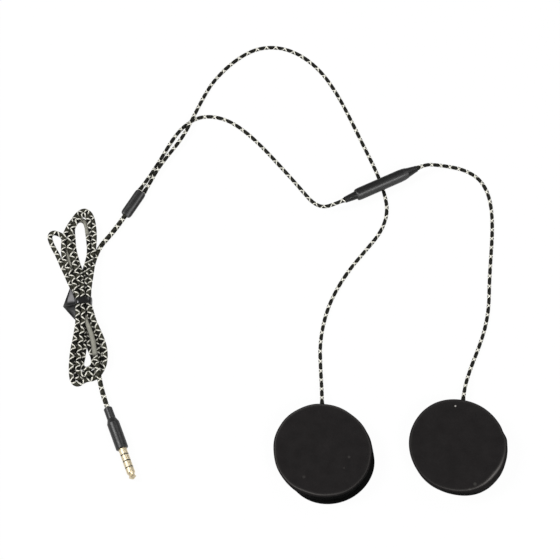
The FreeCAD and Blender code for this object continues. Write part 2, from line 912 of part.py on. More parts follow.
def cord_tie():
    body = new_body("cord_tie")
    section = new_sketch(body, "Section", "XZ_Plane")
    half = size.tie_span / 2
    wall = size.tie_thickness
    draw_outline(section, [(-half, ZERO), (half, ZERO), (half, tie_height), (-half, tie_height)])
    draw_outline(section, [
        (-half + wall, wall),
        (half - wall, wall),
        (half - wall, tie_height - wall),
        (-half + wall, tie_height - wall),
    ])
    pad(body, "Band", section, size.tie_width, midplane=True)
    ear = new_sketch(body, "Ear", "XY_Plane", size.hank_height / 2)
    draw_outline(ear, ear_corners)
    pad(body, "FoldedEar", ear, size.tie_thickness)
    set_place(body, size.tie_x, size.tie_y, ZERO, size.tie_turn)


cord_tie()


# Cord routes: the points are chosen by hand, and the ends come from the pieces that they meet
CORD_Z = size.cord_width.number / 2
OVER_Z = 3.4


def heading_from(turn):
    """Unit vector of a direction on the floor, given by its angle from +X."""
    return Rotation(Vector(0, 0, 1), turn.number).multVec(Vector(1, 0, 0))


def point(x, y, z=None):
    return Vector(x, y, CORD_Z if z is None else z)


def speaker_end(spot):
    """The grommet's nose and the end of the straight lead out of it."""
    nose = spot.outward(grommet_end.number, size.wire_height.number)
    return [nose, spot.outward((grommet_end + size.lead_length).number, size.wire_height.number)]


def splitter_end(sign, across, lead):
    """Where a cord leaves the splitter, and the end of its lead. Across is its step to the left."""
    along = heading_from(size.splitter_turn)
    left = Vector(-along.y, along.x, 0)
    centre = Vector(size.splitter_x.number, size.splitter_y.number, size.splitter_height.number / 2)
    start = centre + along * (sign * size.splitter_length.number / 2) + left * across
    return [start, start + along * (sign * lead)]


def bar_end(sign, neck):
    """Where the cord leaves a neck of the microphone bar, and the end of its lead."""
    along = heading_from(size.bar_turn)
    centre = Vector(size.bar_x.number, size.bar_y.number, (bar_bottom + bar_height / 2).number)
    start = centre + along * (sign * (size.bar_length / 2 + neck).number)
    return [start, start + along * (sign * size.short_lead.number)]


def plug_end():
    """Where the cord enters the plug's boot, and the end of its lead."""
    along = heading_from(size.plug_turn)
    start = Vector(size.plug_x.number, size.plug_y.number, size.barrel_radius.number)
    return [start, start - along * size.short_lead.number]


half_pitch = size.strand_pitch.number / 2
lead = size.lead_length.number

left_route = speaker_end(left_spot) + [
    point(-28.8, 37.7), point(-28.4, 49.4), point(-26.1, 62.6), point(-21.9, 73.2),
    point(-15.9, 82.9), point(-8.8, 91.6), point(-2.5, 100.1), point(0.7, 109.1),
    point(-0.8, 118.2), point(-4.5, 127.6), point(-9.2, 138.6), point(-14.8, 151.2),
    point(-20.7, 163.6), point(-28.0, 174.9), point(-36.7, 183.2), point(-46.3, 187.7),
    point(-57.0, 187.0), point(-67.0, 180.7), point(-75.1, 171.4), point(-79.3, 164.0),
    point(-82.0, 156.6, OVER_Z), point(-86.4, 146.9, OVER_Z), point(-91.2, 139.0, 2.8),
    point(-96.5, 131.2, 2.5),
] + splitter_end(1, -half_pitch, lead)[::-1]

module_route = splitter_end(1, half_pitch, lead) + [
    point(-98.0, 133.2), point(-93.2, 141.9), point(-88.4, 149.3), point(-82.2, 154.0),
    point(-74.9, 154.0), point(-67.6, 151.8), point(-60.2, 146.4), point(-52.9, 138.9),
    point(-45.7, 130.5), point(-39.9, 123.4), point(-35.6, 118.0), point(-31.5, 113.3, 1.3),
    point(-27.2, 110.9, 2.9),
] + bar_end(-1, size.left_neck_length)[::-1]

right_route = speaker_end(right_spot) + [
    point(34.5, 37.9), point(37.8, 46.4), point(40.7, 55.6), point(42.5, 65.5),
    point(43.2, 76.7), point(44.1, 88.0), point(45.1, 99.2), point(45.5, 109.6),
    point(43.8, 118.4), point(39.6, 124.5), point(33.7, 128.5), point(27.4, 130.6, 1.5),
    point(21.8, 130.9, 3.4),
] + bar_end(1, size.right_neck_length)[::-1]

upper_route = splitter_end(-1, 0.0, size.main_lead.number) + [
    point(-118.5, 98.4), point(-122.1, 94.1), point(-124.4, 90.2),
]

lower_route = [
    point(-124.1, 35.0), point(-122.9, 31.5, 1.3), point(-121.4, 27.5, 1.9),
] + plug_end()[::-1]


def corner_radius(before, corner, after):
    """Radius of the arc whose tangents take a fixed share of the shorter run beside a corner."""
    shorter = min((corner - before).Length, (after - corner).Length)
    turn = (corner - before).getAngle(after - corner)
    return ARC_SHARE * shorter / math.tan(turn / 2)


def route_wire(points):
    """Straight runs joined by tangent arcs, each as large as its two runs allow."""
    edges = []
    start = points[0]
    for before, corner, after in zip(points, points[1:], points[2:]):
        reach = ARC_SHARE * min((corner - before).Length, (after - corner).Length)
        incoming = (corner - before).normalize()
        outgoing = (after - corner).normalize()
        radius = corner_radius(before, corner, after)
        centre = corner + (outgoing - incoming).normalize() * math.hypot(radius, reach)
        middle = centre + (corner - centre).normalize() * radius
        arc_start = corner - incoming * reach
        arc_end = corner + outgoing * reach
        edges.append(Part.LineSegment(start, arc_start).toShape())
        edges.append(Part.Arc(arc_start, middle, arc_end).toShape())
        start = arc_end
    edges.append(Part.LineSegment(start, points[-1]).toShape())
    return Part.Wire(edges)


def cord(label, points):
    """A round cord swept along its route."""
    name = "".join(word.title() for word in label.split("_"))
    spine = doc.addObject("Part::Feature", name + "Route")
    spine.Shape = route_wire(points)
    section = doc.addObject("Part::Circle", name + "Section")
    bind(section, "Radius", size.cord_width / 2)
    facing = Rotation(Vector(0, 0, 1), points[1] - points[0])
    section.Placement = Placement(points[0], facing)
    tube = finish(doc.addObject("Part::Sweep", name), label)
    tube.Sections = [section]
    tube.Spine = (spine, [])
    tube.Solid = True
    radii = [round(corner_radius(*three), 1) for three in zip(points, points[1:], points[2:])]
    runs = [round((b - a).Length, 1) for a, b in zip(points, points[1:])]
    print(label, "length", round(spine.Shape.Length, 1), "radii", radii, "runs", runs)
    return tube, spine


cords = [
    cord("left_cord", left_route),
    cord("module_cord", module_route),
    cord("right_cord", right_route),
    cord("main_cord_upper", upper_route),
    cord("main_cord_lower", lower_route),
]


# Hank: the outer shape of the main cord's folded turns, as bands along its bundles
RIGHT_BUNDLE = [(-130.7, 68.4), (-129.4, 74.8), (-127.7, 81.7), (-126.7, 89.5),
                (-126.9, 98.6), (-128.2, 105.6), (-130.4, 108.1)]
LEFT_BUNDLE = [(-130.4, 108.1), (-133.0, 105.1), (-135.0, 100.1), (-135.8, 93.6),
               (-134.7, 85.8), (-132.8, 77.1), (-130.9, 68.4)]
SMALL_LOOP = [(-136.9, 100.8), (-139.5, 98.9), (-142.9, 99.4), (-144.4, 97.4), (-144.4, 94.1),
              (-142.4, 90.0), (-140.0, 84.9), (-137.1, 79.3), (-133.8, 73.0)]
LOWER_LEFT = [(-131.1, 69.3), (-131.5, 62.9), (-131.9, 56.6), (-132.5, 49.4),
              (-132.7, 42.2), (-132.4, 37.1), (-131.2, 33.1)]
LOWER_RIGHT = [(-129.8, 69.3), (-127.4, 62.0), (-124.5, 55.3), (-122.0, 48.9),
               (-121.5, 43.1), (-122.9, 38.2), (-125.9, 34.5), (-131.2, 33.1)]
# Each bundle with the number of strands that lie side by side in it
BUNDLES = [(RIGHT_BUNDLE, 2), (LEFT_BUNDLE, 3), (SMALL_LOOP, 1), (LOWER_LEFT, 3), (LOWER_RIGHT, 2.5)]


def band(points, strands):
    """A flat stadium band round an open line of points, as wide as its strands side by side."""
    line = Part.makePolygon([Vector(x, y, 0) for x, y in points])
    edge = line.makeOffset2D(strands * size.cord_width.number / 2, 0, False, False)
    return Part.Face(edge).extrude(Vector(0, 0, size.hank_height.number))


def boxed(width, depth, low, high, shift_x=0.0, shift_y=0.0):
    """A box about the tie's centre, turned with it."""
    block = Part.makeBox(width, depth, high - low,
                         Vector(-width / 2 + shift_x, -depth / 2 + shift_y, low))
    block.Placement = Placement(Vector(size.tie_x.number, size.tie_y.number, 0),
                                Rotation(Vector(0, 0, 1), size.tie_turn.number))
    return block


def hank():
    first, *others = [band(points, strands) for points, strands in BUNDLES]
    solid = first.multiFuse(others)
    gap = size.tie_gap.number
    width = size.tie_width.number + 2 * gap
    inner = size.tie_span.number - 2 * tie_opening.number
    reach = size.tie_span.number + 2 * size.ear_left_x.number
    everywhere = boxed(reach, width, -1.0, size.hank_height.number + 1.0)
    kept = boxed(inner, width, tie_opening.number, size.hank_height.number)
    solid = solid.cut(everywhere.cut(kept))
    corners = [Vector(as_size(x).number, as_size(y).number, 0) for x, y in ear_corners]
    outline = Part.makePolygon(corners + corners[:1]).makeOffset2D(gap, 0, False, False)
    ear_low = size.hank_height.number / 2 - gap
    slot = Part.Face(outline).extrude(Vector(0, 0, size.tie_thickness.number + 2 * gap))
    slot.Placement = Placement(
        Vector(size.tie_x.number, size.tie_y.number, ear_low),
        Rotation(Vector(0, 0, 1), size.tie_turn.number))
    solid = solid.cut(slot)
    socket = CORD_Z + size.hank_socket.number
    for end, before in ((upper_route[-1], upper_route[-2]), (lower_route[0], lower_route[1])):
        solid = solid.cut(Part.makeCylinder(socket, (before - end).Length, end, before - end))
    piece = finish(doc.addObject("Part::Feature", "MainCordHank"), "main_cord_hank")
    piece.Shape = solid.removeSplitter()
    return piece


hank()


# Every feature has to be sound before any file is written
doc.recompute()
faults = [item.Name for item in doc.Objects if "Invalid" in item.State or "Error" in item.State]
faults += [item.Label for item in finished if item.Shape.isNull() or not item.Shape.isValid()]
if faults:
    raise RuntimeError(f"these did not build: {faults}")

for tube, spine in cords:
    expected = spine.Shape.Length * math.pi * CORD_Z ** 2
    print(tube.Label, "volume", round(tube.Shape.Volume, 1), "section by length", round(expected, 1))

os.makedirs("parts", exist_ok=True)
for item in finished:
    item.Shape.exportStep(f"parts/{item.Label}.step")
print(len(finished), "sub-parts written")
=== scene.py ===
import json

import bpy
import numpy as np
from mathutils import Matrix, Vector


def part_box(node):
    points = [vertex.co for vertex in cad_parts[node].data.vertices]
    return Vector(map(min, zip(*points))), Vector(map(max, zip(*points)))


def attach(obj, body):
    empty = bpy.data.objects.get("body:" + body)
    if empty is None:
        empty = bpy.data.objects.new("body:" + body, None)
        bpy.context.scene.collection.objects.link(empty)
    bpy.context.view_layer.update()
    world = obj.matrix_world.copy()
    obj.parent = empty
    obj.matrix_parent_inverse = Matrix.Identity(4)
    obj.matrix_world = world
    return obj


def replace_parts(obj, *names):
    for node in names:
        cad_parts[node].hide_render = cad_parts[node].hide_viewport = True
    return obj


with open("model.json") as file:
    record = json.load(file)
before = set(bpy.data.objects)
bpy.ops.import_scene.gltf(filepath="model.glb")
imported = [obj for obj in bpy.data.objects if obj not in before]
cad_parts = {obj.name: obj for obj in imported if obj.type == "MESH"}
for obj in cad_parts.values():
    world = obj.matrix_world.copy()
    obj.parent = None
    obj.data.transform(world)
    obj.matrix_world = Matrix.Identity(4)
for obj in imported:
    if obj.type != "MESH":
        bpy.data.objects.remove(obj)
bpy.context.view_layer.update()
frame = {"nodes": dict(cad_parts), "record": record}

# Camera: a long lens at 1.5 m looks along +Y, 69 degrees above the floor, at the middle of the photograph.
# Its place and angle were fitted to the outlines of covers, bar, splitter and plug.
MM = 0.001
target = np.array([-45.927, 78.011, 0.0]) * MM
tilt = np.radians(69.0)
distance = 1.5
lens = bpy.data.cameras.new("camera")
lens.sensor_width = 36.0
lens.lens = 225.8
lens.clip_start = 0.05
camera = bpy.data.objects.new("camera", lens)
camera.location = target + distance * np.array([0.0, -np.cos(tilt), np.sin(tilt)])
camera.rotation_euler = (np.radians(90.0) - tilt, 0.0, 0.0)
bpy.context.scene.collection.objects.link(camera)
bpy.context.scene.camera = camera
bpy.context.scene.view_settings.view_transform = "Standard"


# Floor: plain white ground under the object. Camera rays see it nearly as bright as paper, because its
# own light is mixed in for them, and the object's shadow stays on it.
def linear(code):
    """sRGB hex to linear colour: ((c + 0.055) / 1.055) ** 2.4, and c / 12.92 up to 0.04045."""
    c = np.array([int(code[i:i + 2], 16) for i in (1, 3, 5)]) / 255.0
    rgb = np.where(c <= 0.04045, c / 12.92, ((c + 0.055) / 1.055) ** 2.4)
    return (*rgb.tolist(), 1.0)


def node(tree, kind, inputs=(), out=0, **settings):
    """Adds a shader node and returns its output out, a name or a number.

    inputs gives a value, or another node's output, for each socket: a dict by the socket's name or
    number, or a tuple in the sockets' order. settings are the node's own properties.
    """
    made = tree.nodes.new("ShaderNode" + kind)
    for key, value in settings.items():
        setattr(made, key, value)
    sockets = inputs.items() if isinstance(inputs, dict) else enumerate(inputs)
    for key, value in sockets:
        if isinstance(value, bpy.types.NodeSocket):
            tree.links.new(value, made.inputs[key])
        else:
            made.inputs[key].default_value = value
    return made.outputs[out] if made.outputs else None


def blank(name):
    """A new material and its empty tree."""
    made = bpy.data.materials.new(name)
    made.use_nodes = True
    made.node_tree.nodes.clear()
    return made, made.node_tree


floor_half = 3.0
floor_paint, tree = blank("white_ground")
matte = node(tree, "BsdfDiffuse", {"Color": linear("#f4f4f4")})
glow = node(tree, "Emission", {"Color": linear("#ffffff"), "Strength": 1.0})
rays = [node(tree, "LightPath", out=name) for name in ("Is Camera Ray", "Is Glossy Ray")]
seen = node(tree, "Math", rays, operation="MAXIMUM")
seen = node(tree, "Math", (seen, 0.96), operation="MULTIPLY")
node(tree, "OutputMaterial", {"Surface": node(tree, "MixShader", (seen, matte, glow))})
ground = bpy.data.meshes.new("floor")
corners = [(x * floor_half, y * floor_half, 0.0) for x, y in ((-1, -1), (1, -1), (1, 1), (-1, 1))]
ground.from_pydata(corners, [], [(0, 1, 2, 3)])
ground.materials.append(floor_paint)
floor = bpy.data.objects.new("floor", ground)
bpy.context.scene.collection.objects.link(floor)

# Light: an even white room, a large soft box above on the left, one in front and a weak one behind.
# Camera rays see the room as white paper.
world = bpy.data.worlds.new("room")
world.use_nodes = True
tree = world.node_tree
tree.nodes.clear()
room, paper = (node(tree, "Background", {"Color": linear("#ffffff"), "Strength": s}) for s in (0.25, 1.0))
seen = node(tree, "LightPath", out="Is Camera Ray")
node(tree, "OutputWorld", {"Surface": node(tree, "MixShader", (seen, room, paper))})
bpy.context.scene.world = world


def soft_box(name, spot, size, power):
    """A square area lamp at spot, turned to the camera's target; metres and watts."""
    lamp = bpy.data.lights.new(name, "AREA")
    lamp.size = size
    lamp.energy = power
    made = bpy.data.objects.new(name, lamp)
    made.location = spot
    heading = np.array(spot) - target
    level = np.hypot(heading[0], heading[1])
    made.rotation_euler = (np.arctan2(level, heading[2]), 0.0, np.arctan2(heading[0], -heading[1]))
    bpy.context.scene.collection.objects.link(made)


soft_box("key", (-1.10, 0.18, 1.27), 0.6, 18.0)
soft_box("front", (0.61, -0.76, 1.20), 0.5, 12.0)
soft_box("back", (0.5, 0.9, 1.2), 0.7, 4.0)


# Covers: black polyester knit drawn tight over a foam cap that snaps round the speaker. The face is matt,
# a highlight is painted along the rim, and painted shade makes the wall blacker. Shaped by formula, not
# simulated.
def grid_mesh(name, points, closed=True, caps=False):
    """Mesh of a grid of points, rows x columns x 3: face (r, c) joins rows r, r + 1 and columns c, c + 1.

    closed joins the last column to the first; caps fills the first and the last row.
    """
    rows, cols = points.shape[:2]
    r, c = np.meshgrid(np.arange(rows - 1), np.arange(cols if closed else cols - 1), indexing="ij")
    n = (c + 1) % cols
    faces = np.stack([r * cols + c, r * cols + n, (r + 1) * cols + n, (r + 1) * cols + c], -1)
    polygons = faces.reshape(-1, 4).tolist()
    if caps:
        polygons.append(list(range(cols))[::-1])
        polygons.append(list(range((rows - 1) * cols, rows * cols)))
    mesh = bpy.data.meshes.new(name)
    mesh.from_pydata(points.reshape(-1, 3).tolist(), [], polygons)
    mesh.polygons.foreach_set("use_smooth", np.ones(len(polygons), bool))
    return mesh


def mark(mesh, label, points, share):
    """Writes a share for each point of the grid as an attribute that the material reads."""
    layer = mesh.attributes.new(label, "FLOAT", "POINT")
    layer.data.foreach_set("value", np.broadcast_to(share, points.shape[:2]).ravel())


def place(name, mesh, paint):
    """Object at the origin with its material, riding on the part's one body."""
    made = bpy.data.objects.new(name, mesh)
    mesh.materials.append(paint)
    bpy.context.scene.collection.objects.link(made)
    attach(made, "root")
    return made


def cloth(name, lint):
    """Polyester knit: cells 0.38 mm apart under loose fibres, mottled at 5 mm; it takes no shine.

    The attribute 'side' paints shade that blackens the wall, and the rim highlight attribute paints a highlight
    on the rim. lint lists light specks, as (x, y, radius, strength) in mm.
    """
    knit_scale, fibre_scale, patch_scale = 2600.0, 1800.0, 210.0
    face_level = 8.9 * MM
    paint, tree = blank(name)
    spot = node(tree, "TexCoord", out="Object")
    knit = node(tree, "TexVoronoi", {"Vector": spot, "Scale": knit_scale, "Randomness": 0.6})
    fuzz = node(tree, "TexNoise", {"Vector": spot, "Scale": fibre_scale, "Detail": 4.0, "Roughness": 0.75})
    patch = node(tree, "TexNoise", {"Vector": spot, "Scale": patch_scale, "Detail": 3.0})
    patch = node(tree, "Math", (patch, 0.5), operation="MULTIPLY")
    tone = node(tree, "Math", (fuzz, 0.6, patch), operation="MULTIPLY_ADD")
    base = node(tree, "Mix", {0: tone, 6: linear("#111010"), 7: linear("#292727")}, out=2, data_type="RGBA")
    # Painted shade: the wall attribute blackens the wall towards #040404.
    wall = node(tree, "Attribute", out="Fac", attribute_name="side")
    base = node(tree, "Mix", {0: wall, 6: base, 7: linear("#040404")}, out=2, data_type="RGBA")
    # Painted highlight: the rim attribute, broken by the fibres, lightens the rim towards #6b6866.
    rim_highlight = node(tree, "Attribute", out="Fac", attribute_name="rim_highlight")
    rim_highlight = node(tree, "Math", (rim_highlight, node(tree, "Math", (fuzz, 0.45), operation="ADD")), operation="MULTIPLY")
    base = node(tree, "Mix", {0: rim_highlight, 6: base, 7: linear("#6b6866")}, out=2, data_type="RGBA")
    dust = 0.0
    for x, y, radius, strength in lint:
        away = node(tree, "VectorMath", (spot, (x * MM, y * MM, face_level)), out="Value", operation="DISTANCE")
        near = node(tree, "MapRange", (away, 0.5 * radius * MM, radius * MM, strength, 0.0))
        dust = node(tree, "Math", (dust, near), operation="MAXIMUM")
    base = node(tree, "Mix", {0: dust, 6: base, 7: linear("#a8a5a0")}, out=2, data_type="RGBA")
    relief = node(tree, "Math", (knit, 0.5, fuzz), operation="MULTIPLY_ADD")
    bump = node(tree, "Bump", {"Height": relief, "Strength": 0.6, "Distance": 0.08 * MM})
    skin = node(tree, "BsdfPrincipled", {"Base Color": base, "Roughness": 0.95, "IOR": 1.45,
                                         "Specular IOR Level": 0.03, "Normal": bump})
    node(tree, "OutputMaterial", {"Surface": skin})
    return paint


def bell(angle, middle, spread):
    """Smooth bump round the circle: exp(-(d / spread)^2), d the angle from middle; middle, spread in degrees."""
    off = (np.degrees(angle) - middle + 180.0) % 360.0 - 180.0
    return np.exp(-(off / spread) ** 2)


def cover(name, replaced, centre, base, stretch, edge, wave, tuck, rim_highlight_share, wall_shade, hem, lint):
    """Crowned cap whose outline is base (1 + stretch cos 2 (t - 135 degrees)) + wave(t), in mm.

    The profile goes up the wall, round a quarter circle of edge(t), and over the face, which sinks by
    sink (1 - q)^2 at share q of the radius. tuck(t) draws the wall's foot in. The rim's painted highlight
    and the wall's painted shade, which blackens it up to row hem(t) of the profile, are given as functions of t.
    """
    wall_rows, edge_rows, face_rows = 12, 16, 60
    sink, ripple = 0.22, 0.05
    rim_row, rim_spread, hem_fade = 24.0, 1.8, 8.0
    low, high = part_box(replaced)
    foot, top = low[2] / MM, high[2] / MM
    sides = 360
    t = 2.0 * np.pi * np.arange(sides) / sides
    radius = base * (1.0 + stretch * np.cos(2.0 * (t - np.radians(135.0)))) + wave(t)
    soft = edge(t)
    climb = np.linspace(0.0, 1.0, wall_rows)[:, None]
    wall_r = radius - tuck(t) * (1.0 - climb) ** 1.5
    wall_z = foot + climb * (top - soft - foot)
    bend = np.linspace(0.0, 0.5 * np.pi, edge_rows)[1:, None]
    rim_r = radius - soft * (1.0 - np.cos(bend))
    rim_z = top - soft * (1.0 - np.sin(bend))
    run = (1.0 - np.linspace(0.0, 1.0, face_rows)[1:, None]) ** 1.15
    face_r = (radius - soft) * run
    face_z = top - sink * (1.0 - run) ** 2 - ripple * np.sin(3.0 * t + 1.0) * run * (1.0 - run)
    reach = np.concatenate([wall_r, rim_r, face_r])
    level = np.concatenate([wall_z, rim_z, face_z])
    points = np.stack([centre[0] + reach * np.cos(t), centre[1] + reach * np.sin(t), level], -1) * MM
    mesh = grid_mesh(name, points)
    row = np.arange(len(reach))[:, None]
    # Painted shade on the wall and a painted highlight round the rim.
    mark(mesh, "side", points, np.clip((hem(t) + hem_fade - row) / hem_fade, 0.0, 1.0) * wall_shade(t))
    mark(mesh, "rim_highlight", points, np.exp(-((row - rim_row) / rim_spread) ** 2) * rim_highlight_share(t))
    made = place(name, mesh, cloth(name + "_knit", lint))
    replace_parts(made, replaced)


# Each cover's rim highlight and wall shade are painted where the light falls on that cover.
cover("left_cover_cloth", "left_front_cover", (-28.1, -1.2), 20.5, 0.024,
      edge=lambda t: 0.9 + 0.2 * bell(t, 255.0, 40.0) - 0.25 * bell(t, 210.0, 25.0),
      wave=lambda t: 0.06 * np.sin(5.0 * t) + 0.05 * np.sin(11.0 * t + 1.0) + 0.55 * bell(t, 218.0, 28.0),
      tuck=lambda t: 0.3 + 1.6 * bell(t, 212.0, 30.0),
      rim_highlight_share=lambda t: 0.16 + 0.35 * bell(t, 245.0, 45.0) + 0.2 * bell(t, 120.0, 60.0),
      wall_shade=lambda t: np.ones_like(t),
      hem=lambda t: 10.0 - 8.0 * bell(t, 212.0, 28.0),
      lint=[(-17.2, -4.3, 0.7, 0.05), (-19.3, -9.1, 0.5, 0.04), (-36.0, -13.0, 0.8, 0.04)])
cover("right_cover_cloth", "right_front_cover", (28.5, 1.0), 20.4, 0.034,
      edge=lambda t: 1.0 + 1.2 * bell(t, 322.0, 32.0) - 0.35 * bell(t, 215.0, 40.0),
      wave=lambda t: (0.06 * np.sin(6.0 * t + 2.0) + 0.25 * bell(t, 8.0, 5.0) - 0.2 * bell(t, 18.0, 5.0)
                      + 0.15 * bell(t, 330.0, 8.0) + 0.75 * bell(t, 222.0, 38.0)
                      + 0.2 * bell(t, 280.0, 30.0)),
      tuck=lambda t: 0.3 + 1.5 * bell(t, 215.0, 35.0) + 0.5 * bell(t, 264.0, 26.0),
      rim_highlight_share=lambda t: 0.14 + 0.75 * bell(t, 318.0, 22.0) + 0.2 * bell(t, 270.0, 30.0),
      wall_shade=lambda t: 0.6 + 0.4 * bell(t, 270.0, 45.0) - 0.4 * bell(t, 325.0, 25.0),
      hem=lambda t: 2.0 + 7.0 * bell(t, 268.0, 30.0),
      lint=[(27.5, 18.1, 0.45, 1.0), (35.0, -16.1, 0.9, 0.06), (32.8, -18.4, 0.7, 0.06)])


# Hook pads: a disc cut from black nylon hook tape, glued under each speaker. Its hooks stand in rows on
# the side that grips the helmet's lining; they scatter light, so the tape looks dull.
def finish(name, low, high, roughness, metal=0.0, grain=900.0, depth=0.02, specular=0.5):
    """Material with a fine grain, grain cells a metre: one noise gives its tone, roughness and bump.

    depth is the bump's height in mm. The highlight attribute lightens the tone: a painted highlight.
    """
    paint, tree = blank(name)
    spot = node(tree, "TexCoord", out="Object")
    noise = node(tree, "TexNoise", {"Vector": spot, "Scale": grain, "Detail": 4.0, "Roughness": 0.6})
    tone = node(tree, "Mix", {0: noise, 6: linear(low), 7: linear(high)}, out=2, data_type="RGBA")
    # Painted highlight: where the attribute is set, the tone is lightened towards #626262.
    highlight_share = node(tree, "Attribute", out="Fac", attribute_name="painted_highlight")
    tone = node(tree, "Mix", {0: highlight_share, 6: tone, 7: linear("#626262")}, out=2, data_type="RGBA")
    rough = node(tree, "MapRange", (noise, 0.3, 0.7, roughness * 0.85, min(1.0, roughness * 1.15)))
    bump = node(tree, "Bump", {"Height": noise, "Strength": 0.5, "Distance": depth * MM})
    skin = node(tree, "BsdfPrincipled", {"Base Color": tone, "Roughness": rough, "Metallic": metal,
                                         "IOR": 1.5, "Specular IOR Level": specular, "Normal": bump})
    node(tree, "OutputMaterial", {"Surface": skin})
    return paint


hook_tape = finish("nylon_hook_tape", "#040404", "#111111", 0.9, grain=2400.0, depth=0.3, specular=0.1)


def hook_pad(name, replaced, centre, base, wave):
    """Disc of tape whose outline is base + wave(t) mm, with J-shaped hooks in rows on its lower face.

    A hook's centreline drops 0.33 mm and turns over: (0.11 (1 - cos a), -0.33 - 0.14 sin a), a to 200 degrees.
    """
    low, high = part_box(replaced)
    foot, top = low[2] / MM, high[2] / MM
    sides = 240
    hook_room, chamfer = 0.55, 0.06
    t = 2.0 * np.pi * np.arange(sides) / sides
    film = foot + hook_room
    shares = np.concatenate([np.linspace(0.02, 0.99, 12), [1.0, 1.0, 0.99], np.linspace(0.97, 0.02, 12)])
    level = np.concatenate([np.full(12, film), [film + chamfer, top - chamfer, top], np.full(12, top)])
    reach = shares[:, None] * (base + wave(t))
    points = np.stack([centre[0] + reach * np.cos(t), centre[1] + reach * np.sin(t),
                       np.repeat(level[:, None], sides, 1)], -1) * MM
    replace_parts(place(name, grid_mesh(name, points, caps=True), hook_tape), replaced)

    pitch, jitter, yaw, bare_edge = 0.9, 0.08, 0.4, 1.2
    stem, half_turn, tip_drop, wire, ring = 0.33, 0.11, 0.14, 0.055, 5
    rng = np.random.default_rng(len(name))
    gx, gy = np.meshgrid(np.arange(-20.0, 20.1, pitch), np.arange(-20.0, 20.1, pitch))
    spots = np.stack([gx.ravel(), gy.ravel()], 1) + rng.uniform(-jitter, jitter, (gx.size, 2))
    spots = spots[np.hypot(spots[:, 0], spots[:, 1]) < base - bare_edge]
    bend = np.radians(np.linspace(0.0, 200.0, 6))
    run = np.concatenate([[0.0], half_turn * (1.0 - np.cos(bend))])
    drop = np.concatenate([[0.0], -stem - tip_drop * np.sin(bend)])
    way = rng.uniform(-yaw, yaw, len(spots)) + np.pi * (np.round(spots[:, 1] / pitch) % 2)
    way = way[:, None, None]
    spin = 2.0 * np.pi * np.arange(ring) / ring
    slope = np.arctan2(np.gradient(drop), np.gradient(run))[:, None]
    forth = run[:, None] - np.sin(slope) * np.cos(spin) * wire
    aside = np.broadcast_to(np.sin(spin) * wire, forth.shape)
    down = film + drop[:, None] + np.cos(slope) * np.cos(spin) * wire
    x = centre[0] + spots[:, 0, None, None] + np.cos(way) * forth - np.sin(way) * aside
    y = centre[1] + spots[:, 1, None, None] + np.sin(way) * forth + np.cos(way) * aside
    z = np.broadcast_to(down, x.shape).clip(foot)
    rows = len(run)
    r, c = np.meshgrid(np.arange(rows - 1), np.arange(ring), indexing="ij")
    n = (c + 1) % ring
    quad = np.stack([r * ring + c, r * ring + n, (r + 1) * ring + n, (r + 1) * ring + c], -1).reshape(-1, 4)
    quads = (quad[None] + rows * ring * np.arange(len(spots))[:, None, None]).reshape(-1, 4)
    mesh = bpy.data.meshes.new(name + "_hooks")
    mesh.from_pydata((np.stack([x, y, z], -1).reshape(-1, 3) * MM).tolist(), [], quads.tolist())
    mesh.polygons.foreach_set("use_smooth", np.ones(len(quads), bool))
    place(name + "_hooks", mesh, hook_tape)


hook_pad("left_hook_disc", "left_hook_pad", (-26.3, -2.0), 20.3,
         lambda t: -0.7 * bell(t, 10.0, 16.0) - 1.2 * bell(t, 208.0, 30.0))
hook_pad("right_hook_disc", "right_hook_pad", (28.35, 1.8), 20.3,
         lambda t: -1.15 * bell(t, 220.0, 40.0) - 0.5 * bell(t, 268.0, 25.0))

# Shells and drivers: the CAD's own pieces, screened by the covers. Moulded cups and baskets and rubber
# bushes look dull black; steel and magnets shine through their plating, and the film has an amber gloss.
slots = {entry["node"]: entry["material_slot"] for entry in frame["record"]["subparts"]}


def dress(slot, paint):
    """Gives the CAD pieces of one material slot their finish."""
    for name, item in frame["nodes"].items():
        if slots[name] == slot:
            item.data.materials.clear()
            item.data.materials.append(paint)


dress("black_abs", finish("moulded_abs", "#060606", "#0d0d0d", 0.55, specular=0.2))
dress("rubber_black", finish("soft_rubber", "#0e0e0e", "#191919", 0.7))
dress("foam_black", finish("gasket_foam", "#141414", "#222222", 0.95, grain=1600.0, depth=0.1))
dress("steel_zinc", finish("zinc_plated_steel", "#8c9094", "#b4b6b8", 0.35, metal=1.0))
dress("magnet_nickel", finish("nickel_plated_magnet", "#a4a097", "#c9c5bb", 0.25, metal=1.0))
dress("copper_wire", finish("enamelled_copper", "#8a4a2a", "#b8683c", 0.35, metal=1.0))
dress("film_clear", finish("polyester_film", "#b9b3a2", "#d6d1c1", 0.3))
dress("board_green", finish("solder_mask", "#0f4a2c", "#1c6b40", 0.4))


